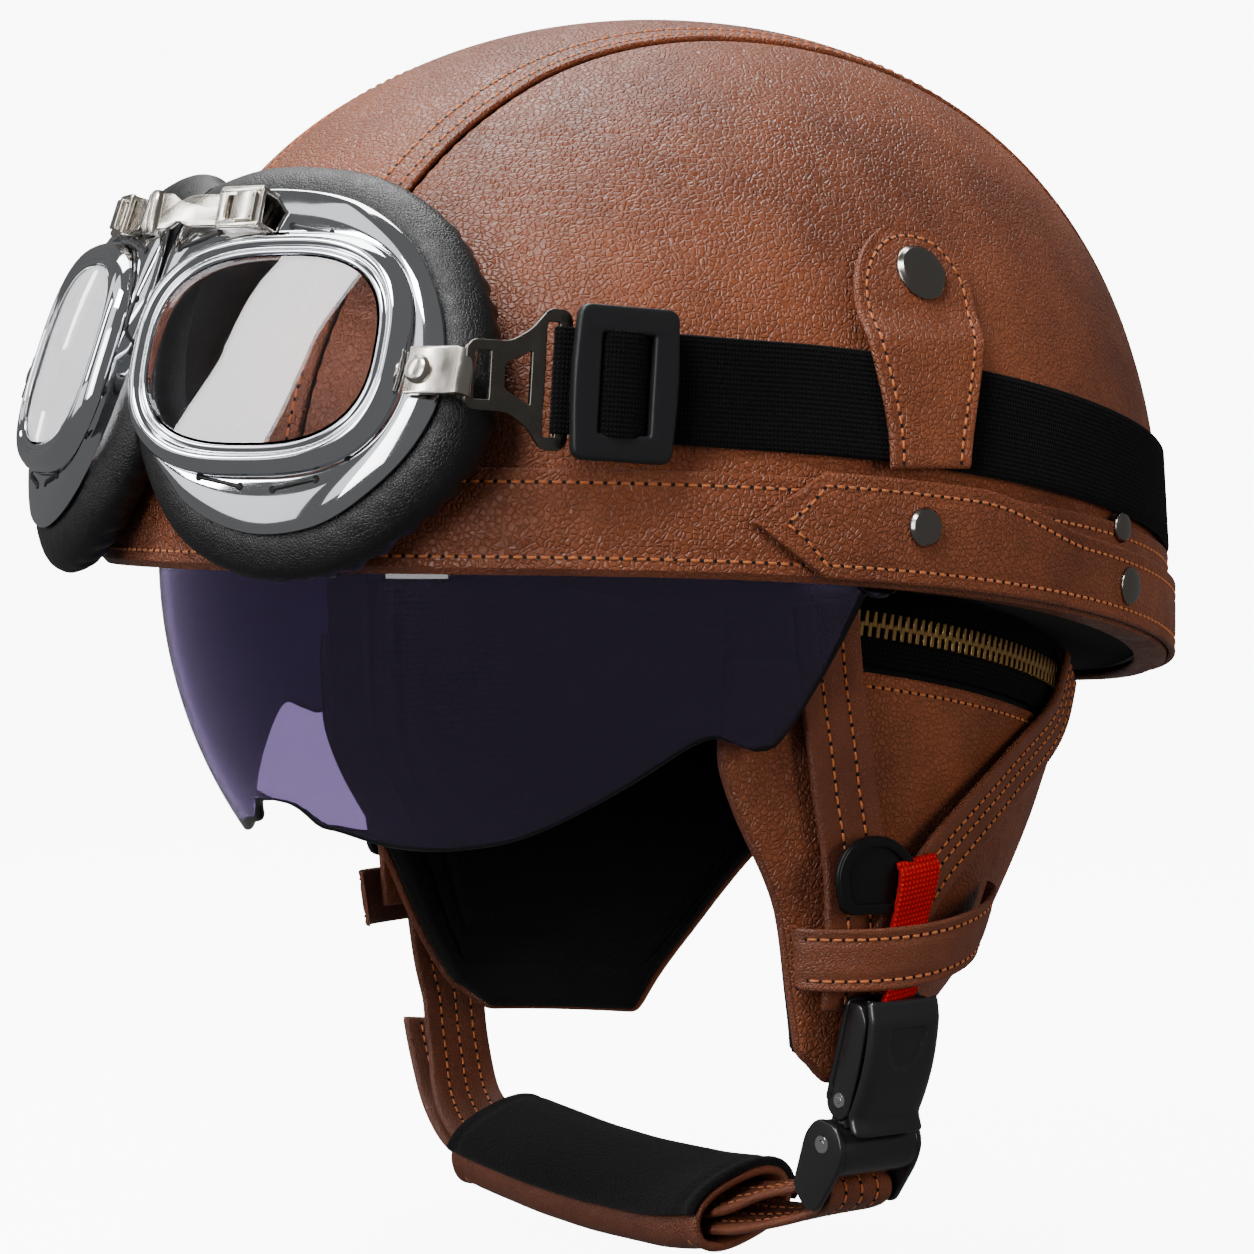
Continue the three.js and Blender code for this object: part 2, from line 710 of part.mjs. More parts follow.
// The raised chrome ring that holds the lens.
function goggleBezel() {
  const low = frameRise + frameThickness + layerGap;
  const crest = low + bezelHeight;
  const section = [[0.8, low + 1], [-bezelWidth * 0.4, crest], [-bezelWidth, crest - 2]];
  return slab(
    eyeSides, 2,
    (u, v) => onBezel(u, ...section[Math.round(v * 2)]),
    (u, v) => onBezel(u, lerp(0.8, -bezelWidth, v), low),
    { wrap: true },
  );
}

// The lens, seated in the bezel and bowed a little forwards.
function goggleLens() {
  const base = frameRise + frameThickness + layerGap + 1.5;
  const grow = -bezelWidth - layerGap;
  const bow = 2.5;
  const point = (u, v, thickness) => {
    const rim = onBezel(u, grow, base + thickness);
    const centre = eyePoint(bezelShiftX, 0, base + thickness + bow);
    return rim.lerp(centre, v).addScaledVector(eyeN, bow * (v * (1 - v)));
  };
  return slab(eyeSides, 1, (u, v) => point(u, v, lensThickness), (u, v) => point(u, v, 0), { wrap: true });
}

// The padded leather ring between the frame and the dome, shaped to the dome behind.
function gogglePad() {
  const behind = -layerGap;
  const keepSide = (p) => vec(max(p.x, 0.4), p.y, p.z);
  const onDome = (p) => keepSide(meetDome(p, eyeN.clone().negate(), padClearance, 4 * padWall));
  const section = (u) => {
    const angle = 2 * PI * u;
    const share = frameShareAt(angle);
    const frontOut = keepSide(onFrame(share, -1, behind));
    const frontIn = onFrame(share, -1 - padWall, behind);
    const backOut = onDome(onFrame(share, padBulge * 0.7, behind));
    const backIn = onDome(onFrame(share, -padWall * 0.9, behind));
    const bulge = (share01) => keepSide(onFrame(share, padBulge * share01, behind).lerp(backOut, 0.25 + 0.4 * (1 - share01)));
    return {
      outer: [frontOut, bulge(0.75), keepSide(onFrame(share, padBulge, behind).lerp(backOut, 0.6)), backOut],
      inner: [frontIn, frontIn.clone().lerp(backIn, 0.33), frontIn.clone().lerp(backIn, 0.66), backIn],
    };
  };
  const cached = Array.from({ length: eyeSides }, (_, i) => section(i / eyeSides));
  const at = (u, v, which) => cached[Math.round(u * eyeSides) % eyeSides][which][Math.round(v * 3)];
  return slab(eyeSides, 3, (u, v) => at(u, v, 'outer'), (u, v) => at(u, v, 'inner'), { wrap: true });
}

// The folded metal clip on the frame's outer edge, with its rivet.
function sideClip() {
  const top = frameRise + clipRise + clipRadius;
  const [near, far] = [clipFoldX - clipLength, clipFoldX];
  const strip = boxBetween([near, -clipHeight / 2, top - plateThickness], [far, clipHeight / 2, top]);
  const foot = boxBetween([near, -clipHeight / 2, frameRise + 1], [near + 3.5, clipHeight / 2, top]);
  const rivet = new THREE.CylinderGeometry(clipRivetRadius, clipRivetRadius, 1.6, capSides).rotateX(PI / 2)
    .translate(far - 12, 0, top + 0.7);
  const flat = joined(strip, foot, rivet).applyMatrix4(frameMatrix(eyePoint(0, clipY, 0), eyeX, eyeY, eyeN));
  const { up } = leaveFrame();
  const centre = eyePoint(clipFoldX, clipY, frameRise + clipRise);
  const spin = new THREE.Quaternion().setFromUnitVectors(vec(0, 1, 0), up);
  const rod = (radius, height) => new THREE.CylinderGeometry(radius, radius, height, 8)
    .applyQuaternion(spin).translate(centre.x, centre.y, centre.z);
  const hole = rod(clipRadius - plateThickness, clipHeight + 8);
  return cut(joined(flat, rod(clipRadius, clipHeight)), hole);
}

// The frame in which the hook, the adjuster and the elastic's end lie: x forwards, y down, z out.
function strapMatrix() {
  const { origin, forward, out, up } = leaveFrame();
  return frameMatrix(origin, forward, up.negate(), out);
}

// The flat metal hook between the clip and the elastic.
function goggleHook() {
  const { reach } = leaveFrame();
  const front = reach + plateThickness / 2;
  const rear = front - hookLength;
  const [a, b] = [hookFrontHeight / 2, hookRearHeight / 2];
  const outline = [
    [rear, -b + 1.5], [rear + 1.5, -b], [rear + 5.5, -b], [rear + 7, -b + 1.5], [rear + 9.5, -a - 3.4], [rear + 15, -a], [front - 1, -a], [front, -a + 1],
    [front, a - 1], [front - 1, a], [rear + 15, a], [rear + 9.5, a + 3.4], [rear + 7, b - 1.5], [rear + 5.5, b], [rear + 1.5, b], [rear, b - 1.5],
  ];
  const clipSlot = [
    [front - plateThickness - 4.6, -clipHeight / 2 - 0.5], [front - plateThickness, -clipHeight / 2 - 0.5],
    [front - plateThickness, clipHeight / 2 + 0.5], [front - plateThickness - 4.6, clipHeight / 2 + 0.5],
  ];
  const middle = [[rear + 8.6, -6.4], [rear + 15.6, -3.4], [rear + 15.6, 3.4], [rear + 8.6, 6.4]];
  const slot = [[rear + hookBar, -elasticWidth / 2 - 0.6], [rear + 6.4, -elasticWidth / 2 - 0.6], [rear + 6.4, elasticWidth / 2 + 0.6], [rear + hookBar, elasticWidth / 2 + 0.6]];
  return plate(outline, plateThickness, [clipSlot, middle, slot]).translate(0, 0, -plateThickness / 2).applyMatrix4(strapMatrix());
}

// The moulded slider on the elastic: an outer frame and a bar behind it.
function adjuster() {
  const { reach } = leaveFrame();
  const front = reach + plateThickness / 2 - hookLength - layerGap;
  const [rear, half] = [front - adjusterLength, adjusterHeight / 2];
  const low = loopWall + plateThickness / 2 + 2 * layerGap;
  const opening = chamfered(rear + adjusterBorder, front - adjusterBorder, -half + adjusterBorder, half - adjusterBorder, 1);
  const rim = plate(chamfered(rear, front, -half, half, 4), adjusterThickness, [opening]).translate(0, 0, low);
  const middle = (front + rear) / 2;
  const bar = boxBetween([middle - adjusterBar / 2, -half + 1.5, -plateThickness / 2], [middle + adjusterBar / 2, half - 1.5, plateThickness / 2]);
  const post = (y) => boxBetween([middle - adjusterBar / 2, y - 1.4, -plateThickness / 2], [middle + adjusterBar / 2, y + 1.4, low + 1]);
  return joined(rim, bar, post(half - 2.2), post(2.2 - half)).applyMatrix4(strapMatrix());
}

// The elastic's end: a flat loop round the hook's bar and the adjuster's bar.
function elasticLoop() {
  const { reach } = leaveFrame();
  const hookBarX = reach + plateThickness / 2 - hookLength + hookBar / 2;
  const barX = adjusterBarAt(reach);
  const room = plateThickness / 2 + layerGap;
  const ring = (grow) => {
    const [front, rear] = [hookBarX + hookBar / 2 + loopRoom, barX - adjusterBar / 2 - loopRoom];
    return chamfered(rear - grow, front + grow, -room - grow, room + grow, grow ? 0.9 : 0.3);
  };
  const loop = plate(ring(loopWall), elasticWidth, [ring(0)]).translate(0, 0, -elasticWidth / 2).rotateX(PI / 2);
  return loop.applyMatrix4(strapMatrix());
}

// The link over the nose: a wing on each eyepiece, bent in the middle.
function bridgeLink() {
  const low = frameRise + 2.6;
  const half = bridgeHeight / 2;
  const wing = (side) => {
    const inner = -(eyeCentreX / cos(rad(eyeTurnAngle)));
    const start = inner + 1.2;
    const outline = [
      [start, -half * 0.9], [start + 7, -half * 0.9], [start + 10, -half * 0.5], [start + 13, -half * 0.8], [inner + bridgeReach, -half * 0.8],
      [inner + bridgeReach, half * 0.8], [start + 13, half * 0.8], [start + 10, half * 0.5], [start + 7, half * 0.9], [start, half * 0.9],
    ];
    const flat = plate(outline, plateThickness).applyMatrix4(frameMatrix(eyePoint(0, bridgeY, low), eyeX, eyeY, eyeN));
    return side > 0 ? flat : mirrored(flat);
  };
  const [a, b] = [eyePoint(-eyeCentreX / cos(rad(eyeTurnAngle)) + 3, bridgeY, low + plateThickness / 2), half * 0.9];
  const along = new THREE.CylinderGeometry(1.9, 1.9, 2 * b, 8);
  const spin = new THREE.Quaternion().setFromUnitVectors(vec(0, 1, 0), vec(0, eyeY.y, eyeY.z).normalize());
  const pin = (side) => along.clone().applyQuaternion(spin).translate(side * a.x, a.y, a.z);
  const web = new THREE.BoxGeometry(2 * a.x, plateThickness, 2 * b * 0.8).applyMatrix4(frameMatrix(vec(0, a.y, a.z), vec(1, 0, 0), vec(0, eyeY.z, -eyeY.y).normalize(), vec(0, eyeY.y, eyeY.z).normalize()));
  return joined(wing(1), wing(-1), pin(1), pin(-1), web);
}

// The clamp that holds the link's wing on the frame.
function bridgeClamp() {
  const inner = -(eyeCentreX / cos(rad(eyeTurnAngle)));
  const at = inner + bridgeReach - 2;
  const low = frameThickness / 2;
  const high = frameRise + 2.6 + plateThickness + layerGap;
  const [w, h] = [clampWidth / 2, clampHeight / 2];
  const sheetThickness = 1.2;
  const cover = boxBetween([at - w, -h, high], [at + w, h, high + sheetThickness]);
  const leg = (y) => boxBetween([at - w, y - sheetThickness / 2, low], [at + w, y + sheetThickness / 2, high + sheetThickness]);
  const body = joined(cover, leg(h - sheetThickness / 2), leg(sheetThickness / 2 - h));
  return body.applyMatrix4(frameMatrix(eyePoint(0, bridgeY, 0), eyeX, eyeY, eyeN));
}

// A geometry seen in a mirror across the helmet's middle plane.
function mirrored(geometry) {
  const made = (geometry.getIndex() ? geometry.clone() : mergeVertices(geometry)).applyMatrix4(new THREE.Matrix4().makeScale(-1, 1, 1));
  const index = made.getIndex().array;
  for (let i = 0; i < index.length; i += 3) [index[i + 1], index[i + 2]] = [index[i + 2], index[i + 1]];
  return made;
}

// The curtain's level sections: depth as a share of the flap's drop, then shares of the dome's half width,
// half length and half length again for its centre.
const curtainSections = [
  // depth, half width, half length, centre
  [0.12, 0.782, 0.877, 0], [0.3, 0.78, 0.862, 0], [0.5, 0.776, 0.797, -0.014], [0.69, 0.767, 0.688, -0.022],
  [0.81, 0.759, 0.594, -0.03], [1, 0.733, 0.42, -0.072], [1.2, 0.69, 0.36, -0.09],
];

// The front edge of the ear flap: depth as a share of the drop, and Y as a share of the dome's half length.
const flapFront = [
  // depth, y
  [0, -0.305], [0.36, -0.3], [0.45, -0.268], [0.65, -0.145], [0.82, -0.065], [0.95, 0.005], [1, 0.03],
];

function curtainAt(turn, z, lift = 0) {
  const depth = -z / flapDrop;
  const width = domeHalfWidth * readTable(curtainSections, depth, 1) + lift;
  const length = domeHalfLength * readTable(curtainSections, depth, 2) + lift;
  const centre = domeHalfLength * readTable(curtainSections, depth, 3);
  return vec(width * sin(turn), centre + length * cos(turn), z);
}

// The turn of the flap's front edge at a height, on one side.
function flapFrontTurn(z, side) {
  const depth = -z / flapDrop;
  const lean = side > 0 ? flapLean * depth ** 2.5 : 0;
  const y = domeHalfLength * readTable(flapFront, depth) - lean;
  const length = domeHalfLength * readTable(curtainSections, depth, 2);
  const centre = domeHalfLength * readTable(curtainSections, depth, 3);
  return Math.acos(max(-1, (y - centre) / length));
}

// The height of the curtain's lower edge: shallow at the nape, deep at the ears, rounded at the front corner.
function lowerEdge(turn) {
  const degrees = THREE.MathUtils.radToDeg(abs(turn));
  const deep = smooth(degrees, flapRearStartAngle, flapRearEndAngle);
  const corner = flapCornerRise * smooth(degrees, flapCornerStartAngle, flapCornerEndAngle);
  return -lerp(napeDrop, flapDrop, deep) + corner;
}

// The rim's height over a place of the curtain.
const rimOver = (turn) => rimAt(domeAt(turn, 0).y);

function curtainPoint(u, v, lift, top) {
  const nominal = rad(lerp(-flapEndAngle, flapEndAngle, u));
  const high = rimOver(nominal) - top;
  const z = lerp(high, lowerEdge(nominal), v);
  const turn = (nominal / rad(flapEndAngle)) * flapFrontTurn(z, nominal);
  return curtainAt(turn, z, lift);
}

function curtain() {
  return slab(
    curtainColumns, curtainRows,
    (u, v) => curtainPoint(u, v, 0, curtainTop),
    (u, v) => curtainPoint(u, v, -curtainLeather, curtainTop),
  );
}

function curtainLiningBody() {
  const outer = -curtainLeather - layerGap;
  const rows = curtainRows + 1;
  const point = (u, v, lift) => {
    const row = Math.round(v * rows);
    return row === 0 ? curtainPoint(u, 0, lift, zipTopGap) : curtainPoint(u, (row - 1) / curtainRows, lift, curtainTop);
  };
  return slab(curtainColumns, rows, (u, v) => point(u, v, outer), (u, v) => point(u, v, outer - curtainLining));
}

// A strip of the zip between two depths below the rim.
function zipStrip(from, to, low, high) {
  const end = rad(zipEndAngle);
  const point = (u, v, lift) => {
    const turn = lerp(-end, end, u);
    return curtainAt(turn, rimOver(turn) - lerp(from, to, v), lift);
  };
  return slab(curtainColumns, 1, (u, v) => point(u, v, high), (u, v) => point(u, v, low));
}

// The middle lines of the two flap straps: a turn in degrees and a depth as a share of the flap's drop.
const frontStrapLine = [
  // along, turn, depth
  [0, 99, 0.075], [0.25, 98, 0.24], [0.5, 96, 0.42], [0.75, 93.8, 0.58], [1, 92.5, 0.775],
];
const rearStrapLine = [
  // along, turn, depth
  [0, 47, 0.235], [0.18, 51.5, 0.325], [0.45, 65.5, 0.44], [0.75, 79.5, 0.585], [1, 89, 0.775],
];

// A leather strap that follows a line on the curtain, level with it and lifted off it.
function flapStrap(line, width, liftAt, steps) {
  const middle = (along) => {
    const turn = rad(readTable(line, along, 1));
    return { turn, z: -flapDrop * readTable(line, along, 2) };
  };
  const frameAt = (along) => {
    const { turn, z } = middle(along);
    const p = curtainAt(turn, z);
    const [a, b] = [middle(max(0, along - 0.06)), middle(min(1, along + 0.06))];
    const direction = curtainAt(b.turn, b.z).sub(curtainAt(a.turn, a.z)).normalize();
    const around = curtainAt(turn + 0.02, z).sub(curtainAt(turn - 0.02, z));
    const down = curtainAt(turn, z - 2).sub(curtainAt(turn, z + 2));
    const out = around.cross(down).normalize();
    if (out.x < 0) out.negate();
    return { p, out, across: out.clone().cross(direction).normalize() };
  };
  const point = (u, v, thickness) => {
    const { p, out, across } = frameAt(u);
    return p.addScaledVector(across, (v - 0.5) * width).addScaledVector(out, liftAt(u) + thickness);
  };
  return slab(steps, 1, (u, v) => point(u, v, strapThickness), (u, v) => point(u, v, 0));
}

const frontStrap = (line) => flapStrap(line, frontStrapWidth, () => strapLift, 7);
const rearStrap = () => flapStrap(
  rearStrapLine,
  rearStrapWidth,
  (u) => strapLift + lerp(0.2, strapThickness + 0.5, smooth(u, 0.3, 0.7)),
  9,
);

// The loop across the flap that keeps the strap's end: seated at both ends and bulging between.
function keeper() {
  const [from, to] = [rad(103.5), rad(62)];
  const point = (u, v, thickness) => {
    const turn = lerp(from, to, u);
    const z = -flapDrop * lerp(0.757, 0.708, u * u) + (v - 0.5) * keeperWidth;
    const bulge = keeperBulge * sin(PI * u) ** 0.6;
    return curtainAt(turn, z, 0.6 + bulge + thickness);
  };
  return slab(10, 1, (u, v) => point(u, v, strapThickness), (u, v) => point(u, v, 0));
}

// A plane level with the flap at one place: x runs backwards, y up and z outwards.
function flapMatrix(turn, z, lift) {
  const p = curtainAt(turn, z, lift);
  const around = curtainAt(turn + 0.05, z).sub(curtainAt(turn - 0.05, z)).normalize();
  const up = curtainAt(turn, z + 10).sub(curtainAt(turn, z - 10)).normalize();
  const out = around.clone().cross(up).normalize();
  if (out.x < 0) out.negate();
  const backward = up.clone().cross(out).normalize();
  return frameMatrix(p, backward, up, out);
}

// The black plate in which the two flap straps meet.
function strapDivider() {
  const [w, h] = [dividerWidth / 2, dividerHeight / 2];
  const outline = [[-w * 0.8, -h], [w * 0.8, -h], [w, -h * 0.2], [w * 0.82, h * 0.35], [w * 0.3, h * 0.92], [-w * 0.25, h], [-w * 0.75, h * 0.75], [-w, h * 0.1]];
  return plate(outline, dividerThickness).applyMatrix4(flapMatrix(rad(92), -flapDrop * 0.6, dividerLift));
}

// The pull ribbon that opens the buckle: it runs from above the keeper to the lever below it.
function pullRibbon() {
  const half = ribbonWidth / 2;
  const length = ribbonLength;
  return plate([[-half, -length / 2], [half, -length / 2], [half, length / 2], [-half, length / 2]], ribbonThickness)
    .applyMatrix4(flapMatrix(rad(88), -flapDrop * 0.7, dividerLift + dividerThickness + 0.7));
}

// The buckle's frame: x to the rear, y up along the strap, z outwards.
const buckleUp = vec(sin(rad(buckleLeanAngle)), 0, cos(rad(buckleLeanAngle)));
const buckleOut = vec(cos(rad(buckleLeanAngle)), 0, -sin(rad(buckleLeanAngle)));
const buckleTop = curtainAt(rad(90), -flapDrop * buckleDepthShare, strapLift + strapThickness + buckleSeat);
const buckleMatrix = frameMatrix(vec(buckleTop.x, buckleY, buckleTop.z), vec(0, 1, 0), buckleUp, buckleOut);

// The buckle's body: two side walls and a back, joined by the upper bar.
function buckleBody() {
  const [w, length, deep] = [buckleWidth / 2, buckleBodyLength, buckleDepth];
  const wall = (x) => boxBetween([x - buckleWall / 2, -length, -1], [x + buckleWall / 2, -2, deep - 2.2]);
  const back = boxBetween([-w, -length + 2, -1], [w, -1, 0.6]);
  const bar = new THREE.CylinderGeometry(2, 2, 2 * w, 10).rotateZ(PI / 2).translate(0, -3, 2.4);
  return joined(wall(w - buckleWall / 2), wall(buckleWall / 2 - w), back, bar).applyMatrix4(buckleMatrix);
}

// The curved lever over the body, with a lip at its lower end.
function buckleLever() {
  const w = buckleWidth / 2 - buckleWall - 0.4;
  const top = buckleDepth - 1.8;
  const point = (u, v, thickness) => {
    const along = -0.5 - v * (buckleBodyLength + 1.5);
    const bow = 1.6 * sin(PI * v) + 1.2 * max(0, v - 0.85) * 6;
    return vec(lerp(-w, w, u), along, top + bow + thickness);
  };
  const lever = slab(2, 7, (u, v) => point(u, v, leverThickness), (u, v) => point(u, v, 0));
  return lever.applyMatrix4(buckleMatrix);
}

// The inner link between the body and the strap's loop.
function buckleLink() {
  const w = buckleWidth / 2 - buckleWall - 0.4;
  const length = buckleBodyLength;
  const arm = boxBetween([-w, -length - 8, 1.4], [w, -length + 9, 4.2]);
  const pin = new THREE.CylinderGeometry(bucklePinRadius, bucklePinRadius, 2 * w, 12).rotateZ(PI / 2).translate(0, -length - 8, 2.8);
  return joined(arm, pin).applyMatrix4(buckleMatrix);
}

// The loop that the chin strap turns back round: two ears, a roof and the lower bar.
const loopTop = -buckleBodyLength - 8;
const loopBarY = loopTop - buckleLoopLength + 4;

function buckleLoop() {
  const w = buckleWidth / 2;
  const ear = () => plate(
    [[3.6, 5], [-3.4, 5], [-6.2, 0], [-6.5, -buckleLoopLength + 3], [-2, -buckleLoopLength], [2.5, -buckleLoopLength], [6.4, -4], [7.2, 1]],
    buckleWall,
  ).rotateY(PI / 2);
  const place = (x) => ear().translate(x, loopTop, 2.8);
  const hub = () => new THREE.CylinderGeometry(3.6, 3.6, 1, 12).rotateZ(PI / 2);
  const left = w + 0.4;
  const bar = new THREE.CylinderGeometry(buckleBarRadius, buckleBarRadius, 2 * w + 1.6, 10).rotateZ(PI / 2).translate(0, loopBarY, 2.8);
  return joined(place(-left - buckleWall), place(left), hub().translate(-left - buckleWall - 0.4, loopTop, 2.8), bar).applyMatrix4(buckleMatrix);
}

// The chin strap's middle line. It starts under the right keeper, runs down and across to the buckle's
// bar, turns round it and runs back through the sleeve to a free end beside its start.
const loopBar = vec(0, loopBarY, 2.8).applyMatrix4(buckleMatrix);
const strapHalf = chinStrapThickness / 2;
const turnRadius = buckleBarRadius + 0.5 + strapHalf;
const rightSide = curtainAt(rad(90), -flapDrop * chinStart).x + strapLift + strapHalf - 0.3;

// Down the right flap: a share of the flap's drop, a share of the side's distance and Y.
const chinUpperRows = [
  // drop, side, y
  [chinStart, 1, 1], [0.895, 0.997, 3], [1, 0.993, 6], [1.097, 0.969, 6],
];

// Across to the buckle: a share of the side's distance on the right or of the bar's on the left, Y,
// how far below the bar in strap widths, and the share of the strap's roll.
const chinLowerRows = [
  // side, y, below, roll
  [-0.886, 3, -0.23, 0.3], [-0.731, -1, 0.12, 0.9], [-0.487, -4, 0.28, 1], [-0.221, -5, 0.39, 1],
  [0.049, -5, 0.45, 1], [0.342, -5, 0.45, 1], [0.55, -4, 0.35, 0.8], [0.733, -2.5, 0.12, 0.35],
];

// Back through the sleeve, under the first layer, to the free end.
const chinReturnRows = [
  // side, y, below, roll
  [0.781, -2.5, 0.44, 0.35], [0.574, -4, 0.563, 0.8], [0.342, -5, 0.606, 1], [0.049, -5, 0.606, 1],
  [-0.221, -5, 0.546, 1], [-0.487, -4, 0.436, 1], [-0.753, -1, 0.284, 0.9], [-0.93, 2, -0.109, 0.3],
  [-1.035, 4, -0.73, 0], [-1.08, 5, -1.13, 0],
];

const chinPlace = ([side, y, below, roll]) => ({
  p: vec(side * (side < 0 ? rightSide : loopBar.x), y, loopBar.z - below * chinStrapWidth),
  roll,
});

function chinPath() {
  const down = chinUpperRows.map(([drop, side, y]) => ({ p: vec(-side * rightSide, y, -drop * flapDrop), roll: 0 }));
  const round = [150, 105, 60, 15, -30, -75].map((degrees) => ({
    p: loopBar.clone().add(vec(cos(rad(degrees)), 0, sin(rad(degrees))).multiplyScalar(turnRadius)).setY(buckleY),
    roll: 0,
  }));
  return [...down, ...chinLowerRows.map(chinPlace), ...round, ...chinReturnRows.map(chinPlace)];
}

// The widths and faces of the chin strap along its line.
function chinFrames() {
  const path = chinPath();
  return path.map(({ p, roll }, i) => {
    const along = path[min(i + 1, path.length - 1)].p.clone().sub(path[max(i - 1, 0)].p).normalize();
    const across = vec(0, cos(rad(chinRollAngle * roll)), sin(rad(chinRollAngle * roll)));
    across.addScaledVector(along, -across.dot(along)).normalize();
    return { p, along, across, face: across.clone().cross(along).normalize() };
  });
}

function chinStrap() {
  const frames = chinFrames();
  const last = frames.length - 1;
  const point = (u, v, side) => {
    const { p, across, face } = frames[Math.round(u * last)];
    return p.clone().addScaledVector(across, (v - 0.5) * chinStrapWidth).addScaledVector(face, side * strapHalf);
  };
  return slab(last, 1, (u, v) => point(u, v, 1), (u, v) => point(u, v, -1));
}

// The sleeve round both layers of the chin strap: sections along the pad's length, each with how far
// below the bar it lies in strap widths, its Y and the share of the strap's roll.
const padRows = [
  // along, below, y, roll
  [0, 0.29, -2.6, 0.95], [0.2, 0.39, -4, 1], [0.4, 0.48, -5, 1], [0.6, 0.535, -5, 1], [0.8, 0.54, -5, 1], [1, 0.47, -4.2, 0.85],
];

function padStation(share, wide, thick) {
  const middle = (loopBar.x - rightSide) / 2 - padShift;
  const x = middle + (share - 0.5) * chinPadLength;
  const centre = vec(x, readTable(padRows, share, 2), loopBar.z - readTable(padRows, share, 1) * chinStrapWidth);
  const roll = rad(chinRollAngle * readTable(padRows, share, 3));
  const across = vec(0, cos(roll), sin(roll));
  const face = vec(0, -sin(roll), cos(roll));
  return (angle) => centre.clone()
    .addScaledVector(across, signedPower(cos(angle), 0.75) * wide)
    .addScaledVector(face, signedPower(sin(angle), 0.75) * thick);
}

function chinSleeve() {
  const [wide, thick] = [chinPadWidth / 2, chinPadThickness / 2];
  const point = (u, v, inset) => padStation(v, wide - inset, thick - inset)(2 * PI * u);
  return slab(12, 5, (u, v) => point(u, v, 0), (u, v) => point(u, v, chinPadWall), { wrap: true });
}

// The fleece on the sleeve's upper face.
function chinFleece() {
  const [wide, thick] = [chinPadWidth / 2 + layerGap, chinPadThickness / 2 + 2.4 * layerGap];
  const point = (u, v, grow) => padStation(lerp(0.0, 1, v), wide + grow * 0.6, thick + grow)(lerp(-0.12, 1.12, u) * PI);
  return slab(8, 5, (u, v) => point(u, v, fleeceThickness), (u, v) => point(u, v, 0));
}

// Materials by name, with colours and finishes as on the real thing.
const finish = (color, roughness, metalness = 0, more = {}) => new THREE.MeshStandardMaterial({ color, roughness, metalness, ...more });
const materials = {
  leather: finish(0x7d4429, 0.5),
  strapLeather: finish(0x74402a, 0.5),
  shell: finish(0x17171a, 0.5),
  liner: finish(0x121214, 0.95),
  blackLeather: finish(0x1c1c1e, 0.55),
  chrome: finish(0xd9dce0, 0.08, 1),
  steel: finish(0xb9b5ae, 0.3, 1),
  gunmetal: finish(0x8f8a84, 0.25, 1),
  elastic: finish(0x101012, 0.9),
  blackPlastic: finish(0x232326, 0.55),
  blackMetal: finish(0x1b1b1e, 0.35, 0.6),
  smokedLens: finish(0x1d1a2b, 0.05, 0, { transparent: true, opacity: 0.75 }),
  clearLens: finish(0xcfd3d6, 0.03, 0, { transparent: true, opacity: 0.3 }),
  fabric: finish(0x101011, 0.95),
  zipTape: finish(0x131315, 0.9),
  brass: finish(0xb08a55, 0.35, 1),
  red: finish(0xe0131a, 0.7),
};

const helmet = new THREE.Group();

function add(name, geometry, material) {
  const mesh = new THREE.Mesh(geometry, material);
  mesh.name = name;
  geometry.computeVertexNormals();
  helmet.add(mesh);
  return mesh;
}

// A piece on the wearer's left, and its mirror image on the right.
function addPair(name, geometry, material) {
  add(`${name}_left`, geometry, material);
  add(`${name}_right`, geometry, material).scale.x = -1;
}

const panels = leatherPanels();
add('shell', shell(), materials.shell);
add('liner', liner(), materials.liner);
add('crown_panel', panels.crown, materials.leather);
add('side_panel_left', panels.left, materials.leather);
add('side_panel_right', panels.right, materials.leather);
add('rim_band', rimBand(), materials.leather);
add('rear_band', rearBand(), materials.leather);
add('elastic_band', elasticBand(), materials.elastic);
addPair('elastic_tab', elasticTab(), materials.leather);
addPair('tab_snap', snapCap(tabSnapRadius, turnAtY(tabSnapY, tabSnapZ), tabSnapZ, layerGap + tabThickness), materials.gunmetal);

const bandSnapTurn = turnAtY(bandSnapY, 0);
const rearSnapTurn = turnAtY(rearSnapY, 0);
addPair('band_snap', snapCap(bandSnapRadius, bandSnapTurn, rimAt(bandSnapY) + rearBandSideHeight / 2 + 0.5, rearBandOuter), materials.gunmetal);
addPair('rear_snap_low', snapCap(bandSnapRadius, rearSnapTurn, rimAt(rearSnapY) + rearSnapLow, rearBandOuter), materials.gunmetal);
addPair('rear_snap_high', snapCap(bandSnapRadius * 0.8, rearSnapTurn, rimAt(rearSnapY) + rearSnapHigh, bandOuter), materials.gunmetal);

add('visor', visorLens(), materials.smokedLens);
addPair('visor_pivot', pivotPin(), materials.blackPlastic);

addPair('goggle_pad', gogglePad(), materials.blackLeather);
addPair('goggle_frame', goggleFrame(), materials.chrome);
addPair('goggle_bezel', goggleBezel(), materials.chrome);
addPair('goggle_lens', goggleLens(), materials.clearLens);
addPair('side_clip', sideClip(), materials.steel);
addPair('goggle_hook', goggleHook(), materials.gunmetal);
addPair('adjuster', adjuster(), materials.blackPlastic);
addPair('elastic_loop', elasticLoop(), materials.elastic);
add('bridge_link', bridgeLink(), materials.steel);

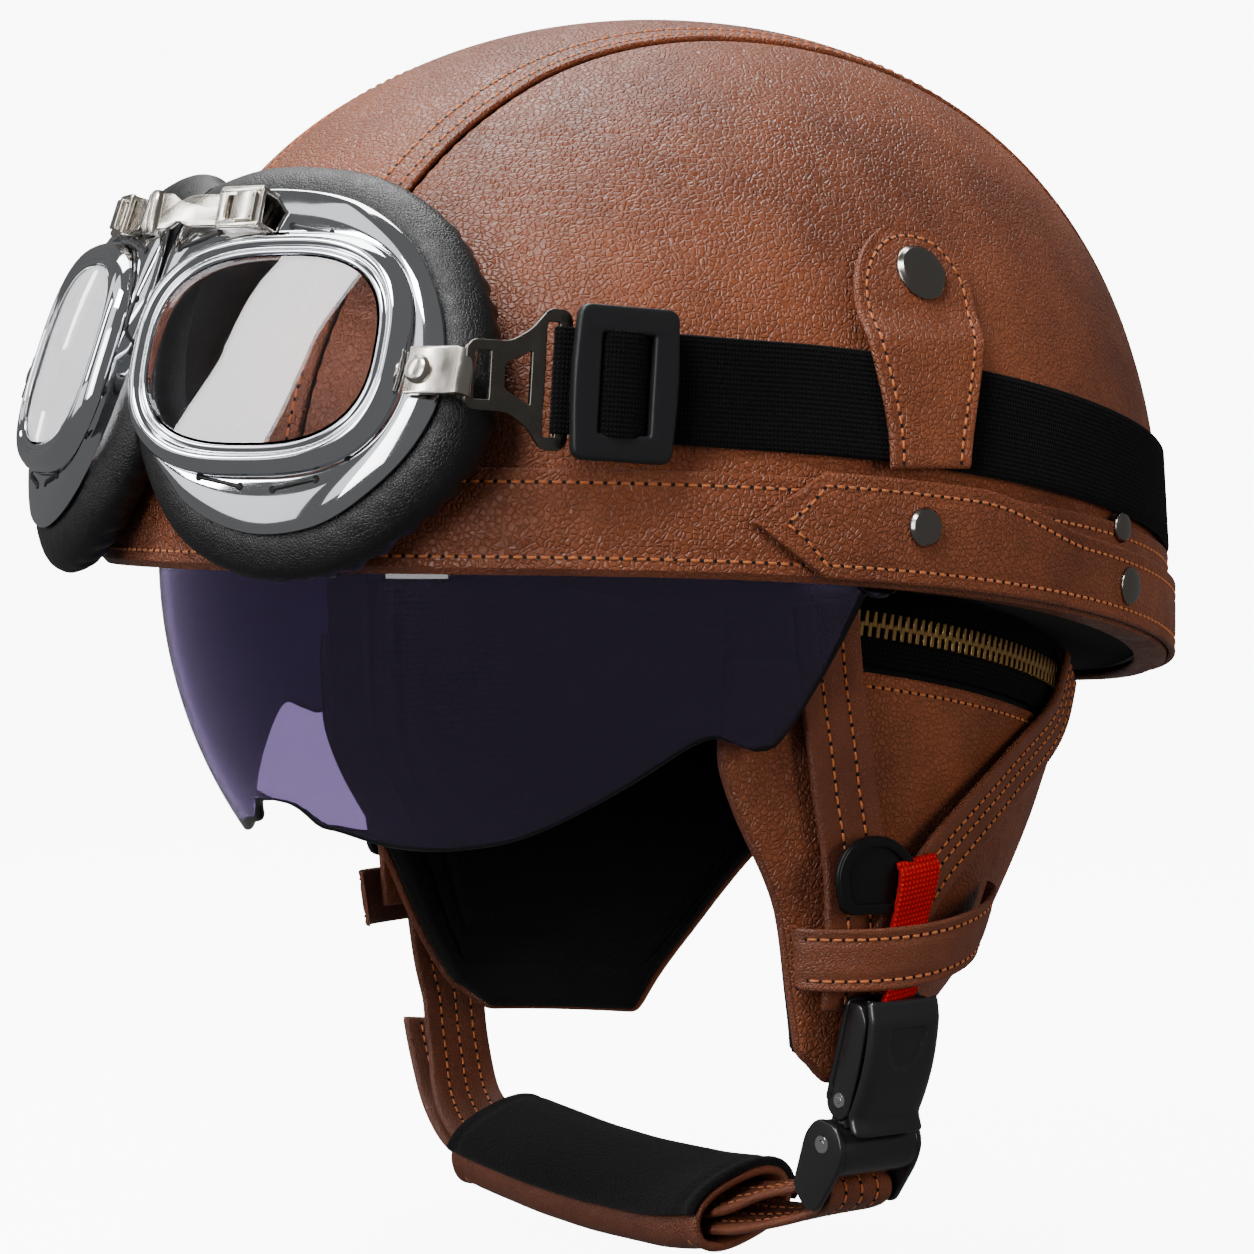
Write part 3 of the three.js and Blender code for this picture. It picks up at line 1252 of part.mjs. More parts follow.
add('curtain', curtain(), materials.leather);
add('curtain_lining', curtainLiningBody(), materials.fabric);
add('zip_tape_upper', zipStrip(zipTopGap, zipChainTop - layerGap, -zipTapeThickness, 0), materials.zipTape);
add('zip_chain', zipStrip(zipChainTop, zipChainTop + zipChainHeight, -zipTapeThickness, zipChainThickness - zipTapeThickness), materials.brass);
add('zip_tape_lower', zipStrip(zipChainTop + zipChainHeight + layerGap, curtainTop - layerGap, -zipTapeThickness, 0), materials.zipTape);

const buckledLine = [...frontStrapLine.slice(0, -1), [1, 92.3, buckledStrapEnd]];
add('front_strap_left', frontStrap(buckledLine), materials.strapLeather);
add('front_strap_right', frontStrap(frontStrapLine), materials.strapLeather).scale.x = -1;
addPair('rear_strap', rearStrap(), materials.strapLeather);
addPair('keeper', keeper(), materials.strapLeather);
addPair('strap_divider', strapDivider(), materials.blackPlastic);
add('pull_ribbon', pullRibbon(), materials.red);
add('buckle_body', buckleBody(), materials.blackMetal);
add('buckle_lever', buckleLever(), materials.blackMetal);
add('buckle_link', buckleLink(), materials.blackMetal);
add('buckle_loop', buckleLoop(), materials.blackMetal);
add('chin_strap', chinStrap(), materials.strapLeather);
add('chin_sleeve', chinSleeve(), materials.strapLeather);
add('chin_fleece', chinFleece(), materials.fabric);

export default helmet;
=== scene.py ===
# %% [markdown]
# # A leather half helmet with goggles, a sun visor and ear flaps
# The hard shell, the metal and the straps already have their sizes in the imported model.
# This lesson dresses them: each leather, cloth, glass and metal piece is built again from the same
# named sizes, with finer curves, rolled edges and stitches, and then gets its own finish.

# %% Load the frame
import bpy
import bmesh
import numpy as np
from mathutils import Matrix, Vector


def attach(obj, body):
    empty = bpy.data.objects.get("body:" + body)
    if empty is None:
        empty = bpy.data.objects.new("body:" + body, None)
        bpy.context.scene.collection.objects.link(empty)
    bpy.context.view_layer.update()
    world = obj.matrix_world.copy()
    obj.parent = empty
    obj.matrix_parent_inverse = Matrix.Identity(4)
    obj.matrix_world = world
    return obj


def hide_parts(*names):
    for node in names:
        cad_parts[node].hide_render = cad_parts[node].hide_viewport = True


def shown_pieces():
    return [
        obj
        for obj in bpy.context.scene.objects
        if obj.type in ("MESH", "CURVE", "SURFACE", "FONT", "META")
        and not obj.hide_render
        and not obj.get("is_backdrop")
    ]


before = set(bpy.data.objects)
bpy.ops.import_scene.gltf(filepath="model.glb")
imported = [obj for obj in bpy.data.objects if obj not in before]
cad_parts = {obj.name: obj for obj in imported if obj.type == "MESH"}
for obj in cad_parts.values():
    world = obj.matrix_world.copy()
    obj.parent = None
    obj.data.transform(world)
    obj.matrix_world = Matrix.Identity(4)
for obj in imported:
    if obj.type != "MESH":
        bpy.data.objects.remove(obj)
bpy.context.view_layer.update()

# %% [markdown]
# ## Camera, floor and light
# The photograph was taken from the front left, a little above the rim, with a long lens.
# A long lens from far away keeps the helmet's sides nearly parallel, so the camera stands over a
# metre off. The floor and the wall behind are one bent sheet, so no horizon line shows.

# %% Make the camera
scene = bpy.context.scene
camera_data = bpy.data.cameras.new("camera")
camera_data.lens = 130.05
camera_data.sensor_width = 36.0
camera_data.clip_end = 20.0
camera = bpy.data.objects.new("camera", camera_data)
scene.collection.objects.link(camera)
camera.location = (0.8968134, -0.7128466, 0.0298588)
target = Vector((-0.0020751, -0.0036960, -0.0193450))
camera.rotation_mode = "QUATERNION"
camera.rotation_quaternion = (target - camera.location).to_track_quat("-Z", "Y")
scene.camera = camera
print("camera to helmet", round((target - camera.location).length, 3), "m")


# %% Light the studio
def area_light(name, place, aim, size, power, tint=(1, 1, 1)):
    light = bpy.data.lights.new(name, "AREA")
    light.shape = "RECTANGLE"
    light.size, light.size_y = size
    light.energy = power
    light.color = tint
    lamp = bpy.data.objects.new(name, light)
    scene.collection.objects.link(lamp)
    lamp.location = place
    lamp.rotation_mode = "QUATERNION"
    lamp.rotation_quaternion = (Vector(aim) - Vector(place)).to_track_quat("-Z", "Y")
    return lamp


area_light("key_softbox", (0.35, -0.95, 1.3), (0, 0, 0.03), (0.55, 0.55), 26.0)
area_light("top_softbox", (-0.6, 0.15, 1.3), (0, 0, 0.05), (0.8, 0.8), 22.0)
area_light("front_softbox", (0.5, -1.5, 0.3), (0, -0.05, -0.03), (0.5, 0.9), 11.0)
side_light = area_light("side_softbox", (1.25, 0.65, 0.1), (0.05, 0.05, -0.04), (0.4, 0.9), 10.0)
# The visor's flat ear would mirror this box towards the camera as a white patch.
side_light.visible_glossy = False
area_light("strip_light", (-0.245, -0.84, 0.475), (0.044, -0.134, 0.046), (0.06, 0.5), 2.2)

world = bpy.data.worlds.new("studio")
scene.world = world
world.use_nodes = True
world.node_tree.nodes["Background"].inputs["Color"].default_value = (1.0, 1.0, 1.0, 1)
world.node_tree.nodes["Background"].inputs["Strength"].default_value = 0.14

# %% [markdown]
# ## Sizes and surfaces
# Every piece lies on one of a few surfaces: the helmet's dome, the curtain round the neck, the
# plane of an eyepiece or the turned surface of the visor. Each surface is one function that takes
# two positions and a lift off the surface, so that layers of leather can be stacked by lift alone.
# Sizes are in millimetres, as in the part's source, and turn to metres when a mesh is made.

# %% Name the sizes
HALF_WIDTH, HALF_LENGTH, HEIGHT = 116.0, 138.0, 133.0
PLAN_POWER, PROFILE_POWER = 2.1, 2.13
LEATHER, GAP, SHELL = 2.0, 0.3, 3.5
SHELL_OUT = -LEATHER - GAP
SHELL_IN = SHELL_OUT - SHELL
BAND_LIFT, BAND = 0.3, 1.8
REAR_BAND_LIFT = BAND_LIFT + BAND + 0.3
ELASTIC_LIFT, ELASTIC, ELASTIC_WIDTH = 0.7, 1.8, 25.0
FLAP_DROP = 124.0


def power(value, exponent):
    return np.sign(value) * np.abs(value) ** exponent


def smooth(value, start, end):
    share = np.clip((np.asarray(value, float) - start) / (end - start), 0, 1)
    return share * share * (3 - 2 * share)


def unit(vectors):
    return vectors / np.linalg.norm(vectors, axis=-1, keepdims=True)


def point(x, y, z):
    return np.stack(np.broadcast_arrays(x, y, z), axis=-1).astype(float)


def table(rows, at, column=1):
    rows = np.asarray(rows, float)
    return np.interp(at, rows[:, 0], rows[:, column])


def curved_table(rows, at, column=1):
    """Like table, with a smooth curve through the rows instead of straight lines."""
    rows = np.asarray(rows, float)
    x, y = rows[:, 0], rows[:, column]
    steps = np.diff(y) / np.diff(x)
    inner = np.where(steps[1:] * steps[:-1] > 0,
                     2 * steps[1:] * steps[:-1] / (steps[1:] + steps[:-1] + 1e-12), 0)
    slope = np.concatenate([[steps[0]], inner, [steps[-1]]])
    at = np.clip(at, x[0], x[-1])
    i = np.clip(np.searchsorted(x, at, side="right") - 1, 0, len(x) - 2)
    width = x[i + 1] - x[i]
    t = (at - x[i]) / width
    return (
        y[i] * (2 * t**3 - 3 * t**2 + 1) + slope[i] * width * (t**3 - 2 * t**2 + t)
        + y[i + 1] * (-2 * t**3 + 3 * t**2) + slope[i + 1] * width * (t**3 - t**2)
    )


def distances(points):
    """How far along a line each of its points lies."""
    return np.concatenate([[0], np.cumsum(np.linalg.norm(np.diff(points, axis=0), axis=1))])


def read_line(line, steps, at):
    """Points of a line, read at distances along it."""
    return np.stack([np.interp(at, steps, line[:, k]) for k in range(3)], -1)


# %% Shape the dome
def dome_shrink(z):
    up = np.clip(np.maximum(z, 0) / HEIGHT, 0, 1)
    return (1 - up**PROFILE_POWER) ** (1 / PROFILE_POWER)


def dome_shift(z):
    return 5.0 * (np.maximum(z, 0) / HEIGHT) ** 1.5


def dome(turn, z, lift=0.0):
    """A point of the helmet: turn 0 is the rear and a quarter turn is the wearer's left."""
    shrink = dome_shrink(z)
    x = (HALF_WIDTH + lift) * shrink * power(np.sin(turn), 2 / PLAN_POWER)
    y = (HALF_LENGTH + lift) * shrink * power(np.cos(turn), 2 / PLAN_POWER) + dome_shift(z)
    return point(x, y, z + lift * np.maximum(z, 0) / HEIGHT)


def turn_at(y, z):
    share = (y - dome_shift(z)) / (HALF_LENGTH * dome_shrink(z))
    return np.arccos(power(np.clip(share, -1, 1), PLAN_POWER / 2))


def rim(y):
    return -35.0 * (np.maximum(0, y + HALF_LENGTH) / (2 * HALF_LENGTH)) ** 2.55


def rim_at(turn):
    return rim(dome(turn, 0.0)[..., 1])


def outside_dome(p, lift=0.0):
    across = (np.abs(p[..., 0]) / (HALF_WIDTH + lift)) ** PLAN_POWER
    along = (np.abs(p[..., 1] - dome_shift(p[..., 2])) / (HALF_LENGTH + lift)) ** PLAN_POWER
    up = (np.maximum(p[..., 2], 0) / (HEIGHT + lift)) ** PROFILE_POWER
    return (across + along) ** (PROFILE_POWER / PLAN_POWER) + up - 1


def meet_dome(start, direction, lift, near, far):
    """Where a line from outside first meets the dome grown by lift."""
    near = np.full(start.shape[:-1], float(near))
    far = np.full(start.shape[:-1], float(far))
    for _ in range(36):
        middle = (near + far) / 2
        out = outside_dome(start + direction * middle[..., None], lift) > 0
        near, far = np.where(out, middle, near), np.where(out, far, middle)
    return start + direction * near[..., None]


def cast_on_dome(direction, lift):
    """The dome's surface in a direction from the middle of the head opening."""
    direction = unit(direction)
    return meet_dome(direction * 260.0, -direction, lift, 0, 250)


# %% Shape the curtain
CURTAIN_ROWS = [
    # depth, half width, half length, centre
    (0.12, 0.782, 0.877, 0), (0.3, 0.78, 0.862, 0), (0.5, 0.776, 0.797, -0.014),
    (0.69, 0.767, 0.688, -0.022), (0.81, 0.759, 0.594, -0.03),
    (1, 0.733, 0.42, -0.072), (1.2, 0.69, 0.36, -0.09),
]
FLAP_FRONT_ROWS = [
    # depth, y
    (0, -0.305), (0.36, -0.3), (0.45, -0.268), (0.65, -0.145), (0.82, -0.065), (0.95, 0.005), (1, 0.03),
]


def curtain(turn, z, lift=0.0):
    depth = -np.asarray(z, float) / FLAP_DROP
    width = HALF_WIDTH * curved_table(CURTAIN_ROWS, depth, 1) + lift
    length = HALF_LENGTH * curved_table(CURTAIN_ROWS, depth, 2) + lift
    centre = HALF_LENGTH * curved_table(CURTAIN_ROWS, depth, 3)
    return point(width * np.sin(turn), centre + length * np.cos(turn), z)


def flap_front_turn(z, side):
    depth = -z / FLAP_DROP
    lean = np.where(side > 0, 23.0 * np.clip(depth, 0, 2) ** 2.5, 0)
    y = HALF_LENGTH * curved_table(FLAP_FRONT_ROWS, depth) - lean
    length = HALF_LENGTH * curved_table(CURTAIN_ROWS, depth, 2)
    centre = HALF_LENGTH * curved_table(CURTAIN_ROWS, depth, 3)
    return np.arccos(np.clip((y - centre) / length, -1, 1))


def flap_hem(turn):
    degrees = np.degrees(np.abs(turn))
    return -(80.0 + 44.0 * smooth(degrees, 32, 50)) + 7.0 * smooth(degrees, 96, 106)


# %% Shape the eyepieces
EYE_CENTRE = np.array([44.0, -134.4, 46.0])
EYE_TURN, EYE_TILT = np.radians(20), np.radians(18)
EYE_X = np.array([np.cos(EYE_TURN), np.sin(EYE_TURN), 0])
EYE_N = np.array([np.sin(EYE_TURN) * np.cos(EYE_TILT), -np.cos(EYE_TURN) * np.cos(EYE_TILT),
                  np.sin(EYE_TILT)])
EYE_Y = np.cross(EYE_N, EYE_X)
EYE_ROWS = np.array([
    # x, y
    (1, -0.12), (0.9, 0.3), (0.66, 0.66), (0.3, 0.9), (-0.1, 1), (-0.55, 1), (-0.9, 0.82), (-1, 0.4),
    (-0.98, 0), (-0.86, -0.42), (-0.55, -0.82), (-0.1, -1), (0.36, -0.95), (0.72, -0.7), (0.93, -0.42),
])


def eye_point(x, y, height=0.0):
    x, y, height = np.broadcast_arrays(x, y, height)
    return EYE_CENTRE + x[..., None] * EYE_X + y[..., None] * EYE_Y + height[..., None] * EYE_N


def eye_at(x, y, height):
    return eye_point(*(np.array(float(value)) for value in (x, y, height)))


def closed_curve(rows, count):
    """A smooth closed curve through rows, as count points with equal steps in angle about the middle."""
    previous, following, after = np.roll(rows, 1, 0), np.roll(rows, -1, 0), np.roll(rows, -2, 0)
    t = np.linspace(0, 1, 24, endpoint=False)[:, None, None]
    fine = 0.5 * (
        2 * rows + (following - previous) * t + (2 * previous - 5 * rows + 4 * following - after) * t**2
        + (-previous + 3 * rows - 3 * following + after) * t**3
    )
    fine = fine.transpose(1, 0, 2).reshape(-1, 2)
    angle = np.arctan2(fine[:, 1], fine[:, 0])
    order = np.argsort(angle)
    radius = np.hypot(fine[:, 0], fine[:, 1])[order]
    wanted = np.linspace(-np.pi, np.pi, count, endpoint=False)
    return wanted, np.interp(wanted, angle[order], radius, period=2 * np.pi)


EYE_ANGLES, EYE_RADII = closed_curve(EYE_ROWS, 360)


def frame_outline(angle, grow=0.0):
    radius = np.interp(angle, EYE_ANGLES, EYE_RADII, period=2 * np.pi)
    return radius * np.cos(angle) * (42.0 + grow) - 1.5, radius * np.sin(angle) * (41.0 + grow)


def bezel_outline(angle, grow=0.0):
    x = power(np.cos(angle), 2 / 2.7) * (37.0 + grow) - 5.0
    return x, power(np.sin(angle), 2 / 2.7) * (28.2 + grow)


# %% [markdown]
# ## Mesh helpers
# Leather is a sheet with a rounded edge. `leaf` lays such a sheet on any of the surfaces above: it
# puts a few extra rows close to each edge and lets the thickness close round them in a half circle.
# A cube with a bevel could give a soft edge too, but a leaf also bends with the surface it lies on.


# %% Make meshes
def grid_faces(columns, rows, wrap):
    i, j = np.meshgrid(np.arange(columns if wrap else columns - 1), np.arange(rows - 1), indexing="ij")
    k = (i + 1) % columns
    return np.stack([i * rows + j, k * rows + j, k * rows + j + 1, i * rows + j + 1], -1).reshape(-1, 4)


def close_rows(columns, rows):
    """Faces that join the last point of every column to its first."""
    first = np.arange(columns) * rows
    beside = np.roll(first, -1)
    return np.stack([first, beside, beside + rows - 1, first + rows - 1], -1)


def stops(count, length, rounding):
    """Positions from 0 to 1 with extra ones near both ends, and how close each is to an end."""
    if rounding == 0:
        return np.linspace(0, 1, count + 1), np.zeros(count + 1)
    share = min(0.49, rounding / length)
    near = share * (1 - np.cos(np.linspace(0, np.pi / 2, 5)))
    middle = np.linspace(share, 1 - share, count + 1)[1:-1]
    at = np.concatenate([near, middle, 1 - near[::-1]])
    close = np.clip(1 - at / share, 0, 1) + np.clip(1 - (1 - at) / share, 0, 1)
    return at, close


def leaf(place, size, counts, thick, wrap=False, rounding=None):
    """A sheet of size (along, across) in millimetres, laid by place(u, v, lift), with round edges."""
    rounding = thick / 2 if rounding is None else rounding
    u, close_u = stops(counts[0], size[0], 0 if wrap else rounding)
    v, close_v = stops(counts[1], size[1], rounding)
    if wrap:
        u, close_u = u[:-1], close_u[:-1]
    across, up = np.meshgrid(u, v, indexing="ij")
    edge = np.minimum(1, close_u[:, None] ** 2 + close_v[None, :] ** 2)
    swell = thick / 2 * np.sqrt(1 - edge)
    front = place(across, up, thick / 2 + swell).reshape(-1, 3)
    back = place(across, up, thick / 2 - swell).reshape(-1, 3)
    faces = grid_faces(len(u), len(v), wrap)
    uv = np.stack([across * size[0], up * size[1]], -1).reshape(-1, 2)
    return np.vstack([front, back]), np.vstack([faces, faces[:, ::-1] + len(front)]), np.vstack([uv, uv])


def tube_round(paths):
    """A closed body from rings of points: paths has one row for each ring."""
    rings, count = paths.shape[:2]
    faces = grid_faces(rings, count, False)
    wrap = np.stack([np.arange(rings - 1) * count + count - 1, np.arange(1, rings) * count + count - 1,
                     np.arange(1, rings) * count, np.arange(rings - 1) * count], -1)
    return paths.reshape(-1, 3), np.vstack([faces, wrap]), None


def mirror(part):
    verts, faces, uv = part
    return verts * [-1, 1, 1], faces[:, ::-1], uv


def make_piece(name, parts, finish, slot, stands_for=(), body="helmet", merge=True, caps=False):
    """One named object from one or more parts, riding on a body of the model."""
    mesh = bpy.data.meshes.new(name)
    verts, faces, uvs, start = [], [], [], 0
    for part_verts, part_faces, part_uv in parts:
        verts.append(part_verts)
        faces += (np.asarray(part_faces) + start).tolist()
        uvs.append(np.zeros((len(part_verts), 2)) if part_uv is None else part_uv)
        start += len(part_verts)
    mesh.from_pydata((np.vstack(verts) * 0.001).tolist(), [], faces)
    layer = mesh.uv_layers.new(name="lay")
    corner = np.zeros(len(mesh.loops), int)
    mesh.loops.foreach_get("vertex_index", corner)
    layer.data.foreach_set("uv", (np.vstack(uvs)[corner] * 0.001).ravel())
    if merge:
        soft = bmesh.new()
        soft.from_mesh(mesh)
        bmesh.ops.remove_doubles(soft, verts=soft.verts, dist=2e-6)
        if caps:
            bmesh.ops.holes_fill(soft, edges=soft.edges)
        bmesh.ops.recalc_face_normals(soft, faces=soft.faces)
        soft.to_mesh(mesh)
        soft.free()
    mesh.shade_smooth()
    mesh.set_sharp_from_angle(angle=np.radians(40))
    piece = bpy.data.objects.new(name, mesh)
    scene.collection.objects.link(piece)
    mesh.materials.append(finish)
    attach(piece, body)
    if stands_for:
        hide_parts(*stands_for)
    return piece


def make_pair(name, parts, finish, slot, node=None, **more):
    nodes = ([f"{node}_left"], [f"{node}_right"]) if node else ((), ())
    left = make_piece(f"{name}_left", parts, finish, slot, nodes[0], **more)
    right = make_piece(f"{name}_right", [mirror(part) for part in parts], finish, slot, nodes[1], **more)
    return left, right


# %% [markdown]
# ## Stitches
# Thread is what makes leather look sewn. Each stitch is a short rounded rod that dips into the
# leather at both ends, with a small dark disc between one stitch and the next: painted shade for the
# needle hole. A texture of dashes would lie flat, and it would slide off the edges that real stitches
# follow.


# %% Sew a line of stitches
threads, holes = [], []


def resample(points, pitch):
    steps = distances(points)
    count = max(2, int(round(steps[-1] / pitch)))
    return np.linspace(0, steps[-1], count + 1), steps


def sew(points, normals, pitch=3.3, width=0.36, sink=0.0):
    """Stitches along a line of points, with normals that point out of the leather."""
    at, steps = resample(points, pitch)
    middle = (at[1:] + at[:-1]) / 2

    def along(values, where):
        return read_line(values, steps, where)

    centre, out = along(points, middle), unit(along(normals, middle))
    ahead = unit(along(points, middle + 0.3) - along(points, middle - 0.3))
    side = np.cross(out, ahead)
    length = (at[1] - at[0]) * 0.8
    rows = np.array([(-0.5, 0.25, -0.7), (-0.36, 0.85, 0.1), (0, 1, 0.45), (0.36, 0.85, 0.1),
                     (0.5, 0.25, -0.7)])
    ring = np.linspace(0, 2 * np.pi, 6, endpoint=False)
    local = np.array([
        (x * length, np.cos(a) * r * width, (np.sin(a) * r * 0.8 + h) * width - sink)
        for x, r, h in rows for a in ring
    ])
    verts = (centre[:, None] + local[None, :, 0, None] * ahead[:, None]
             + local[None, :, 1, None] * side[:, None] + local[None, :, 2, None] * out[:, None])
    faces = np.array([(r * 6 + k, r * 6 + (k + 1) % 6, r * 6 + 6 + (k + 1) % 6, r * 6 + 6 + k)
                      for r in range(4) for k in range(6)])
    starts = np.arange(len(middle))[:, None, None] * len(local)
    threads.append((verts.reshape(-1, 3), (faces[None] + starts).reshape(-1, 4), None))
    # Each needle hole is a small near-black disc: painted shade for the inside of the hole.
    pricks, prick_out = along(points, at), unit(along(normals, at))
    prick_side = unit(np.cross(prick_out, unit(along(points, at + 0.3) - along(points, at - 0.3 + 1e-6))))
    prick_ahead = np.cross(prick_side, prick_out)
    disc = np.array([(np.cos(a) * 0.5, np.sin(a) * 0.45) for a in ring])
    prick_verts = (pricks[:, None] + disc[None, :, 0, None] * prick_ahead[:, None] * 1.1
                   + disc[None, :, 1, None] * prick_side[:, None] * 1.1
                   + (0.06 - sink) * prick_out[:, None])
    quads = np.array([(0, 1, 2, 3), (0, 3, 4, 5)])
    starts = np.arange(len(at))[:, None, None] * 6
    holes.append((prick_verts.reshape(-1, 3), (quads[None] + starts).reshape(-1, 4), None))
    return len(middle)


def sew_on(place, u, v, lift, **more):
    """Stitches on a leaf's surface, along a path given in the leaf's own positions."""
    u, v = np.broadcast_arrays(np.asarray(u, float), np.asarray(v, float))
    points = place(u, v, lift)
    return sew(points, place(u, v, lift + 1.0) - points, **more)


def sew_both_sides(place, u, v, lift, **more):
    """The same row of stitches on the left and, mirrored, on the right."""
    for side in (1, -1):
        sew_on(lambda a, b, h, side=side: place(a, b, h) * [side, 1, 1], u, v, lift, **more)


# %% [markdown]
# ## Finishes
# Every finish is procedural: noise and cell patterns stand in for photographs of leather and cloth.
# Leather gets its look from three things. Small raised cells between fine creases make the grain,
# and the creases are painted darker, which is painted shade. Slow clouds of darker brown make the dye
# uneven, and the gloss breaks up where the grain is deep. Cloth uses the sheet's own lengthwise and
# crosswise positions, so its ribs follow the strap. Cloth and felt are painted darker in their
# hollows, which is painted shade too.


# %% Start a finish
def linear(red, green, blue):
    values = np.array([red, green, blue]) / 255
    return (*np.where(values <= 0.04045, values / 12.92, ((values + 0.055) / 1.055) ** 2.4).tolist(), 1.0)


def plain(name, colour, rough, **sockets):
    made = bpy.data.materials.new(name)
    made.use_nodes = True
    shader = made.node_tree.nodes["Principled BSDF"]
    shader.inputs["Base Color"].default_value = linear(*colour)
    shader.inputs["Roughness"].default_value = rough
    for socket, value in sockets.items():
        shader.inputs[socket.replace("_", " ")].default_value = value
    return made


def node(made, kind, inputs=(), **settings):
    new = made.node_tree.nodes.new(kind)
    for setting, value in settings.items():
        setattr(new, setting, value)
    for socket, value in dict(inputs).items():
        if isinstance(value, bpy.types.NodeSocket):
            made.node_tree.links.new(value, new.inputs[socket])
        else:
            new.inputs[socket].default_value = value
    return new


def feed(made, socket, value):
    made.node_tree.links.new(value, made.node_tree.nodes["Principled BSDF"].inputs[socket])


def bump(made, height, distance, strength=1.0, under=None):
    inputs = {"Height": height, "Distance": distance, "Strength": strength}
    if under is not None:
        inputs["Normal"] = under
    return node(made, "ShaderNodeBump", inputs).outputs["Normal"]


def blend_colours(made, share, first, second):
    ramp = node(made, "ShaderNodeValToRGB", {"Fac": share})
    ramp.color_ramp.elements[0].color = first
    ramp.color_ramp.elements[1].color = second
    return ramp


# %% Mix the leather
def leather(name, light, dark, cells=700.0, depth=0.00036, rough=(0.36, 0.54), sheen=0.04):
    made = plain(name, light, 0.45, Specular_IOR_Level=0.5)
    place = node(made, "ShaderNodeTexCoord").outputs["Object"]
    warp = node(made, "ShaderNodeTexNoise", {"Vector": place, "Scale": 260.0, "Detail": 2.0})
    push = node(made, "ShaderNodeVectorMath", {0: warp.outputs["Color"], "Scale": 0.0006},
                operation="SCALE")
    moved = node(made, "ShaderNodeVectorMath", {0: place, 1: push.outputs[0]}, operation="ADD").outputs[0]
    grain = node(made, "ShaderNodeTexVoronoi", {"Vector": moved, "Scale": cells},
                 feature="DISTANCE_TO_EDGE")
    crease = node(made, "ShaderNodeMapRange", {"Value": grain.outputs["Distance"], "From Max": 0.22},
                  interpolation_type="SMOOTHSTEP")
    fine = node(made, "ShaderNodeTexNoise", {"Vector": moved, "Scale": 1500.0, "Detail": 3.0})
    folds = node(made, "ShaderNodeTexNoise", {"Vector": moved, "Scale": 130.0, "Detail": 4.0,
                                              "Distortion": 1.2})
    cloud = node(made, "ShaderNodeTexNoise", {"Vector": place, "Scale": 17.0, "Detail": 6.0,
                                              "Roughness": 0.62})
    worn = node(made, "ShaderNodeMapRange", {"Value": cloud.outputs[0], "From Min": 0.34,
                                             "From Max": 0.62})
    dye = blend_colours(made, worn.outputs[0], linear(*dark), linear(*light))
    # The colour falls to 0.86 of itself in the grain's creases: painted shade in the creases.
    crease_shade = node(made, "ShaderNodeMapRange", {"Value": crease.outputs[0], "To Min": 0.86})
    tint = node(made, "ShaderNodeVectorMath", {0: dye.outputs["Color"], "Scale": crease_shade.outputs[0]},
                operation="SCALE")
    feed(made, "Base Color", tint.outputs[0])
    gloss = node(made, "ShaderNodeMapRange", {"Value": folds.outputs[0], "From Min": 0.3, "From Max": 0.7,
                                              "To Min": rough[0], "To Max": rough[1]})
    feed(made, "Roughness", gloss.outputs[0])
    low = bump(made, folds.outputs[0], depth * 2.2, 0.6)
    middle = bump(made, crease.outputs[0], depth, 0.75, low)
    feed(made, "Normal", bump(made, fine.outputs[0], depth * 0.4, 0.5, middle))
    shader = made.node_tree.nodes["Principled BSDF"]
    shader.inputs["Sheen Weight"].default_value = sheen
    shader.inputs["Sheen Tint"].default_value = (0.9, 0.62, 0.55, 1)
    return made


brown_leather = leather("brown_leather", (138, 74, 44), (100, 50, 28))
strap_leather = leather("strap_leather", (122, 66, 42), (92, 47, 29), cells=1150.0, depth=0.00015)
black_leather = leather("black_leather", (15, 15, 16), (9, 9, 10), cells=1200.0, depth=0.00008,
                        rough=(0.4, 0.52), sheen=0.0)


# %% Mix the cloths
def woven(name, colour, along, across, depth, rough=0.9, zigzag=0.0, sheen=0.03):
    """Ribs every along metres lengthwise and every across metres crosswise, or in zigzags."""
    made = plain(name, colour, rough, Sheen_Weight=sheen, Specular_IOR_Level=0.12)
    lay = node(made, "ShaderNodeUVMap", uv_map="lay").outputs[0]
    parts = node(made, "ShaderNodeSeparateXYZ", {0: lay})
    length = parts.outputs[0]
    if zigzag:
        fold = node(made, "ShaderNodeMath", {0: parts.outputs[1], 1: zigzag}, operation="PINGPONG")
        length = node(made, "ShaderNodeMath", {0: length, 1: fold.outputs[0]}, operation="ADD").outputs[0]
    warp = node(made, "ShaderNodeCombineXYZ", {0: length}).outputs[0]
    weft = node(made, "ShaderNodeCombineXYZ", {0: parts.outputs[1]}).outputs[0]
    ribs = node(made, "ShaderNodeTexWave", {"Vector": warp, "Scale": 0.314 / along, "Distortion": 0.0})
    rows = node(made, "ShaderNodeTexWave", {"Vector": weft, "Scale": 0.314 / across, "Distortion": 0.0})
    knots = node(made, "ShaderNodeMath", {0: ribs.outputs["Fac"], 1: rows.outputs["Fac"]},
                 operation="MULTIPLY")
    # Between the ribs the colour falls to 0.35 of itself: painted shade in the weave's hollows.
    shade = blend_colours(made, knots.outputs[0], (*[c * 0.35 for c in linear(*colour)[:3]], 1),
                          linear(*colour))
    feed(made, "Base Color", shade.outputs["Color"])
    feed(made, "Normal", bump(made, knots.outputs[0], depth))
    return made


def felt(name, colour, scale, depth, sheen=0.06):
    made = plain(name, colour, 0.95, Sheen_Weight=sheen, Specular_IOR_Level=0.2)
    place = node(made, "ShaderNodeTexCoord").outputs["Object"]
    fluff = node(made, "ShaderNodeTexNoise", {"Vector": place, "Scale": scale, "Detail": 4.0,
                                              "Roughness": 0.7})
    # Where the fluff is low the colour falls to 0.3 of itself: painted shade in the pile's hollows.
    shade = blend_colours(made, fluff.outputs[0], (*[c * 0.3 for c in linear(*colour)[:3]], 1),
                          linear(*colour))
    feed(made, "Base Color", shade.outputs["Color"])
    feed(made, "Normal", bump(made, fluff.outputs[0], depth))
    return made


